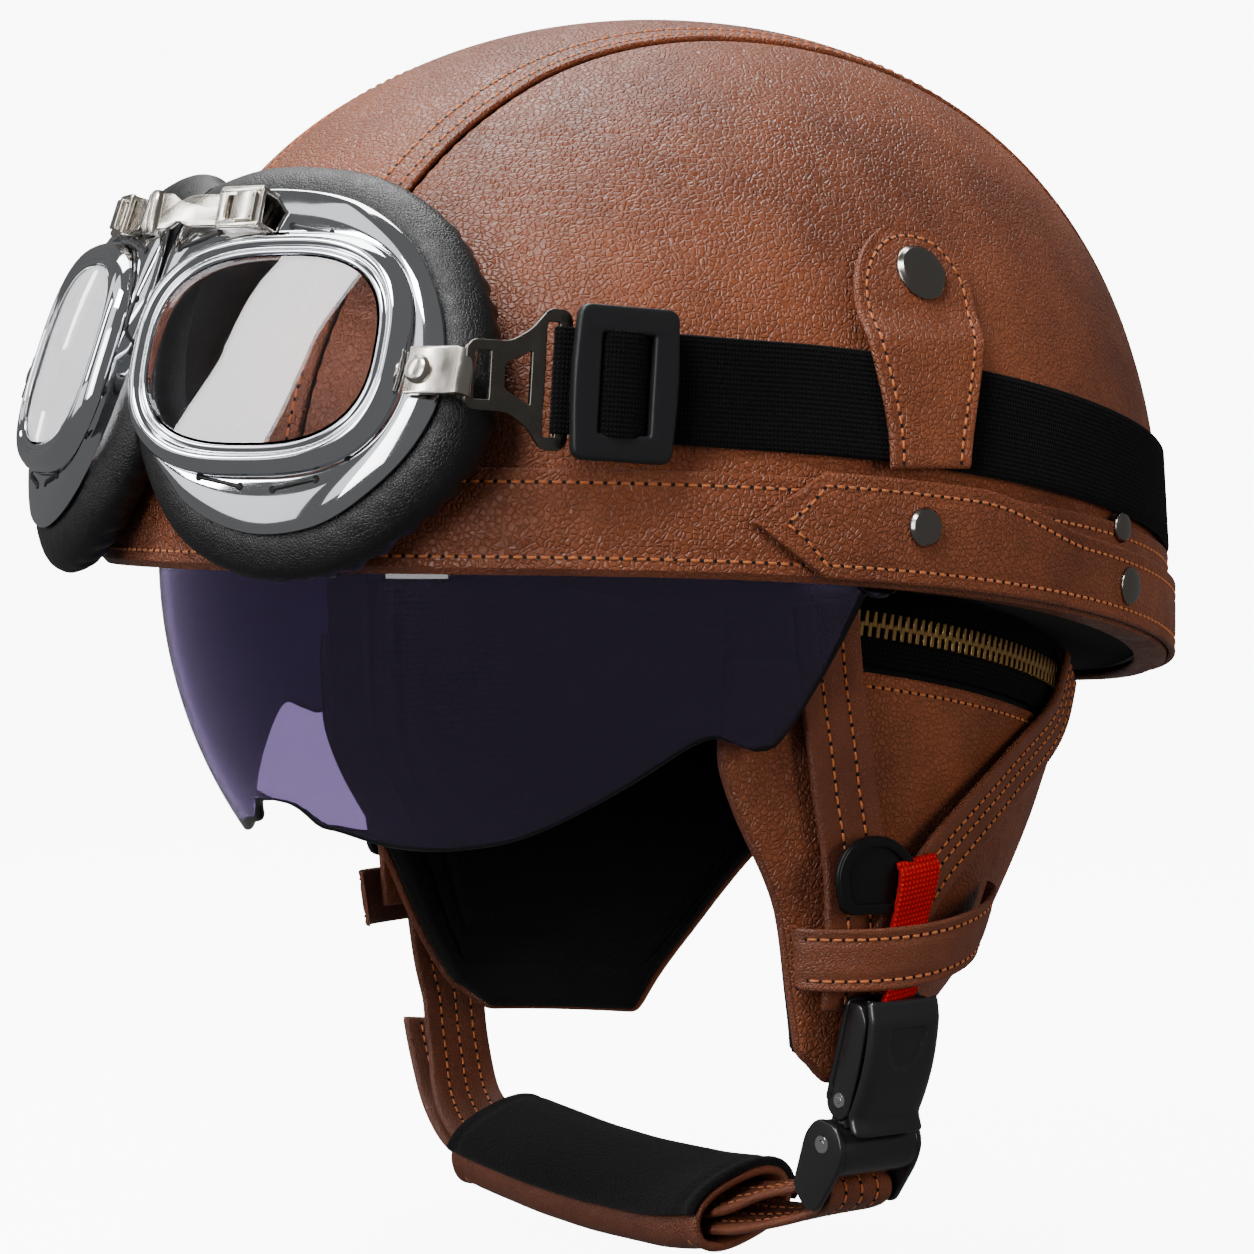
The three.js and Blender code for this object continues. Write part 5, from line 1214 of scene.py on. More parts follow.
# %% Stuff the cushions
def pad_part():
    count, rows = 320, 30
    angle = np.linspace(0, 2 * np.pi, count, endpoint=False)[:, None]
    noise = np.random.default_rng(7)
    phases = noise.uniform(0, 2 * np.pi, 6)
    fold = sum(np.sin(k * angle + p) for k, p in zip((34, 41, 47, 53), phases)) / 2.6
    fold = np.sign(fold) * np.abs(fold) ** 0.7
    near = eye_point(*frame_outline(angle, 0.0), -0.3)
    behind = meet_dome(near, -EYE_N[None, None, :], 4.6, 0, 44)
    depth = np.linalg.norm(behind - near, axis=-1)

    def ring(grow, share, pull=0.0):
        x, y = frame_outline(angle, grow)
        flat = eye_point(x, y, -0.3 * np.ones_like(x))
        return flat - EYE_N * ((depth + pull) * share)[..., None]

    outer = []
    for t in np.linspace(0, 1, rows):
        swell = np.sin(np.pi * t) ** 0.75
        grow = lerp(0.6, 3.8, t) + 6.0 * swell
        gather = fold * (0.9 * smooth(t, 0.5, 0.92) + 0.25 * (1 - smooth(t, 0.0, 0.2)))
        outer.append(ring(grow + gather, 0.02 + 0.96 * t**1.1))
    inner = [ring(-11.0 - 2.0 * np.sin(np.pi * t), t) for t in np.linspace(0.98, 0.0, 12)]
    rings = np.stack([row[:, 0] for row in outer + inner], axis=1)
    rings[..., 0] = np.maximum(rings[..., 0], 0.5)
    faces = grid_faces(count, rings.shape[1], True)
    return rings.reshape(-1, 3), np.vstack([faces, close_rows(count, rings.shape[1])]), None


for cushion in make_pair("eye_cushion", [pad_part()], black_leather, "black_leather", "goggle_pad"):
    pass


# %% [markdown]
# ## Metal and plastic on the strap
# Flat pressed parts are drawn as outlines with holes, given a thickness and a small round edge.
# A curve does this well: it fills between its splines, and its bevel rounds every edge at once.

# %% Press flat parts
def rounded(corners, radius, steps=5):
    """An outline with each corner replaced by an arc; radius is one number or one for each corner."""
    corners = np.asarray(corners, float)
    radii = np.broadcast_to(radius, (len(corners),))
    made = []
    for i, corner in enumerate(corners):
        before, after = corners[i - 1] - corner, corners[(i + 1) % len(corners)] - corner
        room = min(radii[i], np.linalg.norm(before) * 0.48, np.linalg.norm(after) * 0.48)
        start, end = corner + unit(before) * room, corner + unit(after) * room
        for t in np.linspace(0, 1, steps):
            made.append((1 - t) ** 2 * start + 2 * t * (1 - t) * corner + t * t * end)
    return np.array(made)


def pressed(outlines, thickness, origin, x, y, z, soft=0.25):
    """A plate from outlines in the plane of x and y, thick along z with its middle at origin."""
    curve = bpy.data.curves.new("outline", "CURVE")
    curve.dimensions, curve.fill_mode = "2D", "BOTH"
    curve.extrude = max(thickness / 2 - soft, 0.01)
    curve.bevel_depth, curve.bevel_resolution = soft, 2
    for outline in outlines:
        spline = curve.splines.new("POLY")
        spline.points.add(len(outline) - 1)
        flat = np.column_stack([outline, np.zeros(len(outline)), np.ones(len(outline))])
        spline.points.foreach_set("co", flat.ravel())
        spline.use_cyclic_u = True
    holder = bpy.data.objects.new("outline", curve)
    mesh = bpy.data.meshes.new_from_object(holder)
    local = np.zeros(len(mesh.vertices) * 3)
    mesh.vertices.foreach_get("co", local)
    local = local.reshape(-1, 3)
    mesh.calc_loop_triangles()
    faces = np.zeros(len(mesh.loop_triangles) * 3, int)
    mesh.loop_triangles.foreach_get("vertices", faces)
    faces = faces.reshape(-1, 3)
    verts = np.asarray(origin) + local[:, :1] * x + local[:, 1:2] * y + local[:, 2:] * z
    bpy.data.objects.remove(holder)
    bpy.data.meshes.remove(mesh)
    return verts, faces, local[:, :2]


def box_outline(left, right, low, high):
    return [(left, low), (right, low), (right, high), (left, high)]


# %% Make the hook, the slider and its elastic
hook_rear = HOOK_FRONT - 25.0
hook_outline = rounded([
    (hook_rear, -14.0), (hook_rear + 1.5, -15.5), (hook_rear + 5.5, -15.5), (hook_rear + 7.2, -13.6),
    (hook_rear + 9.6, -10.6),
    (hook_rear + 14.5, -7.6), (HOOK_FRONT - 1.4, -7.5), (HOOK_FRONT, -6.0), (HOOK_FRONT, 6.0),
    (HOOK_FRONT - 1.4, 7.5),
    (hook_rear + 14.5, 7.6), (hook_rear + 9.6, 10.6), (hook_rear + 7.2, 13.6), (hook_rear + 5.5, 15.5),
    (hook_rear + 1.5, 15.5), (hook_rear, 14.0),
], 2.0)
hook_holes = [
    rounded(box_outline(HOOK_FRONT - 6.0, HOOK_FRONT - 1.6, -5.7, 5.7), 0.6),
    rounded([(hook_rear + 9.0, -6.6), (hook_rear + 16.0, -3.0), (hook_rear + 16.0, 3.0),
             (hook_rear + 9.0, 6.6)], 1.2),
    rounded(box_outline(hook_rear + 2.6, hook_rear + 6.2, -13.1, 13.1), 0.8),
]
hook_part = pressed([hook_outline, *hook_holes], 1.4, LEAVE_POINT, FORWARD, UPWARD, OUTWARD, 0.3)
make_pair("strap_hook", [hook_part], dark_nickel, "steel", "goggle_hook")


def bulged(left, right, low, high, belly):
    """A rectangle whose upright sides swell outwards by belly."""
    t = np.linspace(0, 1, 9)
    swell = belly * np.sin(np.pi * t)
    right_side = np.column_stack([right + swell, lerp(low, high, t)])
    left_side = np.column_stack([left - swell[::-1], lerp(high, low, t)])
    return np.vstack([right_side, left_side])


slider_outline = rounded(bulged(SLIDER_REAR + 0.6, SLIDER_FRONT - 0.6, -16.5, 16.5, 0.8),
                         [4.2] + [0.3] * 7 + [4.2, 4.2] + [0.3] * 7 + [4.2], 7)
slider_hole = rounded(box_outline(SLIDER_REAR + 4.6, SLIDER_FRONT - 4.6, -12.1, 12.1), 1.6)
slider_parts = [pressed([slider_outline, slider_hole], 3.0, LEAVE_POINT + 3.7 * OUTWARD, FORWARD, UPWARD,
                        OUTWARD, 0.9)]
slider_middle = (SLIDER_FRONT + SLIDER_REAR) / 2
bar = rounded(box_outline(slider_middle - 1, slider_middle + 1, -15, 15), 0.5)
slider_parts.append(pressed([bar], 1.4, LEAVE_POINT, FORWARD, UPWARD, OUTWARD, 0.3))
for y in (-14.3, 14.3):
    post = rounded(box_outline(slider_middle - 1, slider_middle + 1, y - 1.3, y + 1.3), 0.4)
    slider_parts.append(pressed([post], 4.4, LEAVE_POINT + 1.6 * OUTWARD, FORWARD, UPWARD, OUTWARD, 0.3))
make_pair("strap_slider", slider_parts, satin_plastic, "black_plastic", "adjuster")

LOOP_ROWS = np.array([
    # forwards from the hook's rear edge, outwards
    (-1.0, -1.35), (0.6, -1.5), (2.3, -1.3), (3.3, 0.0), (2.3, 1.35), (0.4, 1.5), (-2.6, 1.35),
    (-4.6, 1.7), (-6.0, 3.3), (-8.0, 4.75),
    (-10.5, 5.45), (-13.0, 5.3), (-15.6, 4.4), (-17.6, 3.0), (-19.4, 1.5), (-21.5, 1.0), (-24.5, 0.85),
])


def loop_surface(u, v, h):
    steps = distances(LOOP_ROWS)

    def read(at):
        at = np.clip(at, 0, steps[-1])
        return [curved_table(np.column_stack([steps, LOOP_ROWS[:, k]]), at) for k in (0, 1)]

    x, out = read(u * steps[-1])
    dx, dz = np.subtract(read(u * steps[-1] + 0.4), read(u * steps[-1] - 0.4))
    size = np.hypot(dx, dz) + 1e-9
    return strap_place(hook_rear + x + dz / size * (h - 0.6), (v - 0.5) * 24.0,
                       out - dx / size * (h - 0.6))


make_pair("strap_loop", [leaf(loop_surface, (40, 24), (90, 14), 1.2, rounding=0.55)], elastic_cloth,
          "elastic", "elastic_loop")


# %% Fold the clip and the bridge link
def eye_plate_part(outlines, thickness, y, height, soft=0.25):
    return pressed(outlines, thickness, eye_at(0, y, height), EYE_X, EYE_Y, EYE_N, soft)


clip_top = FRAME_RISE + 0.5 + 3.0 - 0.7
clip_parts = [eye_plate_part([rounded(box_outline(34.5, 47.4, -5.25, 5.25), 0.5)], 1.4, -4.5, clip_top)]
clip_parts.append(turned(cap_profile(3.3, 1.9), eye_at(37.6, -4.5, clip_top + 0.7), EYE_N))
fold = np.linspace(np.pi / 2, -np.pi * 0.72, 16)
clip_fold = []
for radius in (3.0, 1.6):
    clip_fold.append(eye_point(47.0 + radius * np.cos(fold), np.full(16, -4.5),
                               FRAME_RISE + 0.5 + radius * np.sin(fold)))
section = np.vstack([clip_fold[0], clip_fold[1][::-1]])
clip_parts.append(tube_round(np.stack([section - 5.2 * EYE_Y, section - 5.0 * EYE_Y,
                                       section + 5.0 * EYE_Y, section + 5.2 * EYE_Y])))
make_pair("side_clip_strip", clip_parts, nickel, "steel", "side_clip", caps=True)

LINK_HEIGHT = FRAME_RISE + 2.6 + 0.7
INNER = -44.0 / np.cos(EYE_TURN)
wing_outline = rounded([
    (INNER + 1.6, -4.1), (INNER + 7, -4.1), (INNER + 9.6, -2.2), (INNER + 12.6, -3.6), (INNER + 30, -3.6),
    (INNER + 30, 3.6), (INNER + 12.6, 3.6), (INNER + 9.6, 2.2), (INNER + 7, 4.1), (INNER + 1.6, 4.1),
], 0.9)
wing = eye_plate_part([wing_outline], 1.4, 34.6, LINK_HEIGHT)
hinge = [eye_at(INNER + 2.6, 34.6 + s, LINK_HEIGHT) for s in np.linspace(-5.2, 5.2, 8)]
hinge_pin = rod(hinge, [1.2, 1.9, 1.9, 1.9, 1.9, 1.9, 1.9, 1.2], 16)
web_rows = [np.array([(s * abs(hinge[0][0]), (hinge[k][1]), hinge[k][2]) for k in (1, 6)])
            for s in np.linspace(-1, 1, 9)]
web = np.stack([np.array([row[0] + [0, -0.7, 0.2], row[1] + [0, -0.7, 0.2], row[1] + [0, 0.7, -0.2],
                          row[0] + [0, 0.7, -0.2]]) for row in web_rows])
make_piece("bridge_hinge", [wing, mirror(wing), hinge_pin, mirror(hinge_pin), tube_round(web)], nickel,
           "steel", ["bridge_link"], caps=True)

clamp_at = INNER + 28.0
clamp_low, clamp_high = FRAME / 2 + 1, FRAME_RISE + 2.6 + 1.4 + 0.3 + 0.6
clamps = [eye_plate_part([rounded(box_outline(clamp_at - 6, clamp_at + 6, -4.8, 4.8), 0.9),
                          rounded(box_outline(clamp_at - 3.9, clamp_at - 1.9, -3.0, 3.0), 0.5)], 1.2,
                          34.6, clamp_high, 0.3)]
clamps.append(eye_plate_part([rounded(box_outline(clamp_at - 0.6, clamp_at + 4.6, -3.4, 3.4), 0.5)], 1.2,
                             34.6, clamp_high + 1.0, 0.3))
for y in (-4.2, 4.2):
    upright = rounded(box_outline(clamp_at - 6, clamp_at + 6, clamp_low, clamp_high + 0.5), 0.6)
    clamps.append(pressed([upright], 1.2, eye_at(0, 34.6 + y, 0), EYE_X, EYE_N, EYE_Y, 0.3))
make_pair("bridge_clamp", clamps, nickel, "steel")
print("goggles made")

# %% [markdown]
# ## The sun visor
# The visor is moulded from smoked plastic in one curve that turns about the two side pins, so it
# slides up into the liner without touching it. Its lower edge dips under each eye and ends in a
# finger tab at both sides. Real thickness matters here, because light tints on its way through.

# %% Mould the visor
VISOR_EDGE = [
    # across, up
    (0, -29.5), (3.0, -29.8), (5.2, -30.8), (7.4, -33.2), (10, -33.9), (17, -37), (26, -40), (36, -42.2),
    (48, -43), (57, -43.6),
    (60, -44.8), (61.6, -47.5), (62.6, -53), (63.6, -58.5), (65.4, -61.4), (68, -62), (76, -62),
    (86, -62),
]


def visor(u, v, h):
    across = np.radians(86.0) * (2 * u - 1)
    lower = curved_table(VISOR_EDGE, np.degrees(np.abs(across)))
    return visor_surface(across, np.radians(lerp(VISOR_TOP, lower, v)), VISOR_THICKNESS - h)


visor_parts = [leaf(visor, (360, 95), (200, 30), VISOR_THICKNESS)]
ear_profile = [(2.5, 0.0), (8.4, 0.0), (9.0, 0.6), (9.0, 1.6), (8.4, 2.2), (2.5, 2.2), (2.5, 0.0)]
for side in (1, -1):
    visor_parts.append(turned(ear_profile, (side * (VISOR_HALF_WIDTH - VISOR_THICKNESS), PIVOT_Y, 0),
                              (side, 0, 0), 64))
make_piece("visor_lens", visor_parts, smoked_lens, "smoked_lens", ["visor"], body="sun_visor")

shell_x = float(dome(turn_at(np.array(PIVOT_Y), 0), 0.0, SHELL_IN)[0]) - 1.7
pin_profile = [(0, shell_x), (4.6, shell_x), (5.0, shell_x - 0.4), (5.0, 102.6), (4.7, 102.3),
               (2.2, 102.3), (2.2, 99.5), (3.6, 99.5),
               (4.0, 99.1), (3.9, 98.6), (3.0, 98.0), (0, 97.9)]
make_pair("visor_pin", [turned(pin_profile, (0, PIVOT_Y, 0), (1, 0, 0), 40)], shell_plastic,
          "black_plastic", "visor_pivot")
print("visor moulded")

# %% [markdown]
# ## Ear and neck curtain
# A zip joins the curtain to the rim. The outside is leather, and a thin rolled piping closes its
# edge over a padded black lining. The lining has a raised rim and a pressed panel, which come
# from pushing its points in and out by how far they are from the curtain's edge.


# %% Cut the curtain
FLAP_END = np.radians(105.0)


def curtain_place(u, v, lift, top=20.0):
    nominal = FLAP_END * (2 * u - 1)
    high = rim_at(nominal) - top
    z = lerp(high, flap_hem(nominal), v)
    turn = nominal / FLAP_END * flap_front_turn(z, nominal)
    return curtain(turn, z, lift)


def curtain_leather(u, v, h):
    return curtain_place(u, v, h - 1.8)


make_piece("curtain_leather", [leaf(curtain_leather, (430, 80), (220, 34), 1.8)], brown_leather,
           "leather", ["curtain"])


def edge_line(lift, count=420, top=20.0):
    """The curtain's free edge: down the right front, along the hem and up the left front."""
    down, along = np.linspace(0.02, 1, 60), np.linspace(0, 1, count)
    u = np.concatenate([np.zeros(60), along[1:-1], np.ones(60)])
    v = np.concatenate([down, np.ones(count - 2), down[::-1]])
    return curtain_place(u, v, np.full(len(u), lift), top)


def averaged(line, rounds):
    for _ in range(rounds):
        line[1:-1] = (line[:-2] + 2 * line[1:-1] + line[2:]) / 4
    return line


piping = averaged(edge_line(-1.6), 6)
make_piece("curtain_piping", [rod(piping, 1.15, 12)], strap_leather, "leather", caps=True)
hem_u = np.linspace(0.004, 0.996, 500)
sew_on(curtain_place, hem_u, 0.035, 0.0, pitch=3.0, width=0.3)


# %% Pad the lining
def distance_from_edge(u, v):
    height = 70.0 + 30.0 * smooth(np.abs(2 * u - 1), 0.3, 0.5)
    reach = 215.0
    return np.minimum(np.minimum(u, 1 - u) * 2 * reach, (1 - v) * height)


def lining(u, v, h):
    edge = distance_from_edge(u, v)
    rim_roll = 1.6 * smooth(edge, 0, 2.5) * (1 - smooth(edge, 9.5, 12.0))
    middle_roll = 1.2 * smooth(edge, 11.0, 13.0) * (1 - smooth(edge, 19.5, 21.0))
    panel = 1.9 * smooth(edge, 20.0, 23.5)
    puff = (rim_roll + middle_roll + panel) * (h < 2.5) * (1 - h / 2.5)
    lift = -2.1 - 5.0 + h - puff + 1.2 * (h < 2.5)
    return curtain_place(u, v, lift, 20.0 - 19.1 * smooth(1 - v, 0.9, 1.0))


lining_part = leaf(lining, (430, 100), (250, 76), 5.0, rounding=1.5)
quilt = make_piece("curtain_quilt", [lining_part], lining_cloth, "fabric", ["curtain_lining"])


# %% Sew in the zip
ZIP_END = np.radians(100.0)


def zip_strip(low_gap, high_gap):
    def place(u, v, h):
        turn = ZIP_END * (2 * u - 1)
        return curtain(turn, rim_at(turn) - lerp(low_gap, high_gap, v), h - 1.2)
    return place


for name, low_gap, high_gap, stands_for in (("upper", 0.9, 8.6, "zip_tape_upper"),
                                            ("lower", 11.4, 19.7, "zip_tape_lower")):
    tape = leaf(zip_strip(low_gap, high_gap), (400, 8), (200, 6), 1.2, rounding=0.3)
    make_piece(f"zip_{name}_tape", [tape], zip_cloth, "zip_tape", [stands_for])


def zip_teeth():
    turns = ZIP_END * np.linspace(-1, 1, 600)
    line = curtain(turns, rim_at(turns) - 10.0, 0.2)
    at, steps = resample(line, 1.3)
    turn_of = np.interp(at, steps, turns)
    corners = np.array([(x, y, z) for x in (-0.5, 0.5) for y in (-0.5, 0.5) for z in (-0.5, 0.5)])
    quads = np.array([(0, 1, 3, 2), (4, 6, 7, 5), (0, 4, 5, 1), (2, 3, 7, 6), (0, 2, 6, 4), (1, 5, 7, 3)])
    verts, faces = [], []
    for k, turn in enumerate(turn_of):
        centre = curtain(turn, rim_at(turn) - 10.0, 0.0)
        before, after = (curtain(at, rim_at(at), 0.0) for at in (turn - 0.01, turn + 0.01))
        ahead = unit(after - before)
        out = unit(np.cross(ahead, [0, 0, 1.0]))
        out = out * np.sign(np.dot(out, curtain(turn, -10.0, 1.0) - curtain(turn, -10.0, 0.0)))
        up = np.cross(out, ahead)
        up = up * np.sign(up[2])
        side = 1 if k % 2 else -1
        for size, offset in (((1.15, 3.6, 1.9), 1.35), ((1.5, 1.5, 1.6), 0.1)):
            local = corners * size + [0, side * offset, 0.45]
            faces.append(quads + 8 * len(verts))
            verts.append(centre + local[:, :1] * ahead + local[:, 1:2] * up + local[:, 2:] * out)
    return np.vstack(verts), np.vstack(faces), None


teeth = make_piece("zip_teeth", [zip_teeth()], brass, "brass", ["zip_chain"], merge=False)
soft = teeth.modifiers.new("edges", "BEVEL")
soft.width, soft.segments, soft.limit_method = 0.00022, 2, "ANGLE"
print("zip teeth", len(teeth.data.vertices) // 16)

# %% [markdown]
# ## Straps on the flaps
# Two leather straps come down each flap and meet above the buckle, and a loop of leather keeps their
# ends. A strap is a leaf whose middle line is read from a short table of turns and depths. Its edges
# are folded in, so it is thick there, and the stitch rows make shallow valleys along it.

# %% Read the strap lines
FRONT_LINE = [(0, 99, 0.075), (0.25, 98, 0.24), (0.5, 96, 0.42), (0.75, 93.8, 0.58), (1, 92.5, 0.775)]
BUCKLED_LINE = FRONT_LINE[:-1] + [(1, 92.3, 0.865)]
REAR_LINE = [(0, 47, 0.235), (0.18, 51.5, 0.325), (0.45, 65.5, 0.44), (0.75, 79.5, 0.585), (1, 89, 0.775)]
STRAP = 1.8


def strap_on(line, width, lift_at, valleys):
    def middle(along):
        return np.radians(curved_table(line, along, 1)), -FLAP_DROP * curved_table(line, along, 2)

    def place(u, v, h):
        turn, z = middle(u)
        before, after = middle(np.clip(u - 0.06, 0, 1)), middle(np.clip(u + 0.06, 0, 1))
        direction = unit(curtain(*after) - curtain(*before))
        out = unit(np.cross(curtain(turn + 0.02, z) - curtain(turn - 0.02, z),
                            curtain(turn, z - 2) - curtain(turn, z + 2)))
        out = out * np.sign(out[..., :1])
        across = unit(np.cross(out, direction))
        at = (v - 0.5) * width
        dent = sum(0.4 * np.exp(-((v - valley) * width / 1.3) ** 2) for valley in valleys)
        dent = dent * (h > STRAP / 2)
        return curtain(turn, z) + across * at[..., None] + out * (lift_at(u) + h - dent)[..., None]

    return place


front_valleys, rear_valleys = (0.34, 0.7), (0.3, 0.52, 0.8)


def rear_lift(u):
    return 1.5 + lerp(0.2, 2.3, smooth(u, 0.3, 0.7))


def flat_lift(u):
    return 1.5 + 0.0 * u


run = np.linspace(0.01, 0.99, 120)
for side, name, line in ((1, "left", BUCKLED_LINE), (-1, "right", FRONT_LINE)):
    place = strap_on(line, 18.5, flat_lift, front_valleys)
    part = leaf(place, (100, 18.5), (70, 26), STRAP + 0.4, rounding=1.0)
    make_piece(f"flap_strap_front_{name}", [part if side > 0 else mirror(part)], strap_leather,
               "strap_leather", [f"front_strap_{name}"])
    for valley in front_valleys:
        sew_on(lambda u, v, h, side=side, place=place: place(u, v, h) * [side, 1, 1], run, valley,
               STRAP + 0.45, pitch=3.0, width=0.33)

rear_place = strap_on(REAR_LINE, 15.0, rear_lift, rear_valleys)
make_pair("flap_strap_rear", [leaf(rear_place, (130, 15), (80, 26), STRAP + 0.2, rounding=0.95)],
          strap_leather, "strap_leather", "rear_strap")
for valley in rear_valleys:
    sew_both_sides(rear_place, run, valley, STRAP + 0.25, pitch=2.9, width=0.3)


# %% Loop the keepers over
def keeper(u, v, h):
    turn = np.radians(lerp(103.5, 62.0, u))
    z = -FLAP_DROP * lerp(0.757, 0.708, u * u) + (v - 0.5) * 15.0 - 1.2 * np.sin(np.pi * u)
    bulge = 10.8 * np.sin(np.pi * np.clip(u, 0, 1)) ** 0.6
    roll = 0.5 * np.exp(-((np.minimum(v, 1 - v) * 15 - 2.6) / 1.2) ** 2)
    return curtain(turn, z, 0.6 + bulge + h - roll * (h > 0.9))


make_pair("strap_keeper", [leaf(keeper, (72, 15), (80, 24), STRAP, rounding=0.9)], strap_leather,
          "strap_leather", "keeper")
for edge in (0.17, 0.83):
    sew_both_sides(keeper, np.linspace(0.03, 0.97, 150), edge, STRAP + 0.05, pitch=3.0, width=0.34)


# %% Mould the divider and fold the ribbon
def flap_frame(degrees, depth, lift):
    turn, z = np.radians(degrees), -FLAP_DROP * depth
    origin = curtain(turn, z, lift)
    around = unit(curtain(turn + 0.05, z) - curtain(turn - 0.05, z))
    up = unit(curtain(turn, z + 10) - curtain(turn, z - 10))
    out = np.cross(around, up)
    out = out * np.sign(out[0])
    return origin, unit(np.cross(up, out)), up, out


divider_shape = [(-10, -9), (10, -9), (12.5, -1.8), (10.2, 3.2), (3.8, 8.3), (-3.1, 9), (-9.4, 6.8),
                 (-12.5, 0.9)]
origin, back, up, out = flap_frame(92.0, 0.6, 7.0)
divider_parts = [pressed([rounded(divider_shape, 3.0)], 1.6, origin, back, up, out, 0.45)]
rim_shape = rounded([(x * 0.82, y * 0.8) for x, y in divider_shape], 2.5)
divider_parts.append(pressed([rounded(divider_shape, 3.0), rim_shape], 1.2, origin + 1.0 * out, back, up,
                             out, 0.3))
make_pair("divider_plate", divider_parts, divider_black, "black_plastic", "strap_divider")


def ribbon(u, v, h):
    z = lerp(-71.0, -104.5, u)
    wave = 0.5 * np.sin(9 * u)
    turn = np.radians(lerp(86.2, 87.6, u)) - (v - 0.5) * 10.2 / 90.0
    fold = 1.6 * np.exp(-((u * 33 - 0.5) / 1.2) ** 2)
    return curtain(turn, z + 1.5 * (v - 0.5), 9.3 + wave + h - fold + 0.8 * smooth(u, 0.4, 0.7))


ribbon_parts = [leaf(ribbon, (34, 10), (60, 16), 1.1, rounding=0.5),
                leaf(lambda u, v, h: ribbon(u, v * 0.98 + 0.06, h - 1.25), (32, 10), (60, 16), 1.0,
                     rounding=0.45)]
make_piece("ribbon_pull", ribbon_parts, red_ribbon, "red_ribbon", ["pull_ribbon"])
print("straps", len(threads), "rows of stitches")

# %% [markdown]
# ## Clamp buckle
# The buckle stays closed as on the photograph. Its lever is a bent plate with a thumb mark pressed
# into it, over two cheeks on silver pins. Below hangs a short link, and then the loop that the chin
# strap turns back round. Cheeks and ears are pressed plates set on edge.

# %% Make the buckle
LEAN = np.radians(17.0)
BUCKLE_UP = np.array([np.sin(LEAN), 0, np.cos(LEAN)])
BUCKLE_OUT = np.array([np.cos(LEAN), 0, -np.sin(LEAN)])
BUCKLE_BACK = np.array([0, 1.0, 0])
BUCKLE_TOP = curtain(np.pi / 2, -FLAP_DROP * 0.83, 1.5 + 1.8 + 2.5)
BUCKLE_TOP = np.array([BUCKLE_TOP[0], -1.0, BUCKLE_TOP[2]])
BUCKLE_LENGTH = 29.0


def buckle_place(x, y, z):
    x, y, z = np.broadcast_arrays(x, y, z)
    return BUCKLE_TOP + x[..., None] * BUCKLE_BACK + y[..., None] * BUCKLE_UP + z[..., None] * BUCKLE_OUT


def on_edge(outlines, x, thickness, soft=0.35):
    """A pressed plate on edge: outlines are (out, up) and x is where its middle lies."""
    return pressed(outlines, thickness, BUCKLE_TOP + x * BUCKLE_BACK, BUCKLE_OUT, BUCKLE_UP, BUCKLE_BACK,
                   soft)


cheek = rounded([(-0.6, -2.5), (3.2, -1.0), (6.6, -4.0), (7.3, -16), (6.8, -28.0), (4.0, -30.4),
                 (-0.4, -28.5)], 2.2)
body_parts = [on_edge([cheek], x, 1.6, 0.5) for x in (-10.2, 10.2)]
body_parts.append(pressed([rounded(box_outline(-11, 11, -27, -1), 1.5)], 1.6,
                          BUCKLE_TOP - 0.2 * BUCKLE_OUT, BUCKLE_BACK, BUCKLE_UP, BUCKLE_OUT, 0.5))
body_parts.append(rod(buckle_place(np.linspace(-10.8, 10.8, 4), -3.0, 2.4), 2.0, 24))
make_piece("buckle_frame", body_parts, gloss_black, "black_metal", ["buckle_body"], caps=True)


def lever(u, v, h):
    along = 1.0 - v * (BUCKLE_LENGTH + 4.0)
    bow = 2.2 * np.sin(np.pi * v) + 3.0 * smooth(v, 0.86, 1.0) - smooth(1 - v, 0.85, 1.0)
    across = 10.8 * (2 * u - 1)
    thumb = np.hypot(across / 6.0, (along + 6.5) / 9.5)
    dent = (1 - smooth(thumb, 0.86, 1.0)) * smooth(-along, 4.5, 5.6)
    roll = 1.4 * np.abs(2 * u - 1) ** 8
    return buckle_place(across, along, 7.4 + bow + h - dent * (h > 0.9) - roll)


make_piece("buckle_cover", [leaf(lever, (21.6, 33), (36, 56), 1.9, rounding=0.9)], gloss_black,
           "black_metal", ["buckle_lever"])

LOOP_TOP = -BUCKLE_LENGTH - 8.0
link_parts = [on_edge([rounded([(0.9, -20), (4.9, -20), (5.2, -34), (4.6, -38.8), (1.0, -39.2),
                                (0.2, -34)], 1.6)], x, 1.6, 0.45) for x in (-8.1, 8.1)]
link_parts.append(pressed([rounded(box_outline(-8.6, 8.6, -37, -20), 1.0)], 2.2,
                          BUCKLE_TOP + 2.8 * BUCKLE_OUT, BUCKLE_BACK, BUCKLE_UP,
                          BUCKLE_OUT, 0.5))
link_parts.append(rod(buckle_place(np.linspace(-9.0, 9.0, 4), LOOP_TOP, 2.8), 2.5, 24))
make_piece("buckle_arm", link_parts, gloss_black, "black_metal", ["buckle_link"], caps=True)

ear = rounded([(6.4, LOOP_TOP + 5.5), (-0.6, LOOP_TOP + 5.2), (-3.4, LOOP_TOP), (-3.9, LOOP_TOP - 13.5),
               (0.8, LOOP_TOP - 16.6),
               (5.0, LOOP_TOP - 16.6), (9.4, LOOP_TOP - 4.5), (9.9, LOOP_TOP + 1.0)],
               [3.5, 3, 2, 2.5, 2, 2, 2.5, 3])
loop_parts = [on_edge([ear], x, 1.7, 0.5) for x in (-12.1, 12.1)]
BAR_Y = LOOP_TOP - 13.0
loop_parts.append(rod(buckle_place(np.linspace(-11.8, 11.8, 4), BAR_Y, 2.8), 2.0, 24))


def loop_roof(u, v, h):
    angle = np.radians(lerp(-62, 118, v))
    return buckle_place(11.6 * (2 * u - 1), LOOP_TOP - 1.5 + (5.8 + h) * np.sin(angle),
                        2.8 + (6.2 + h) * np.cos(angle))


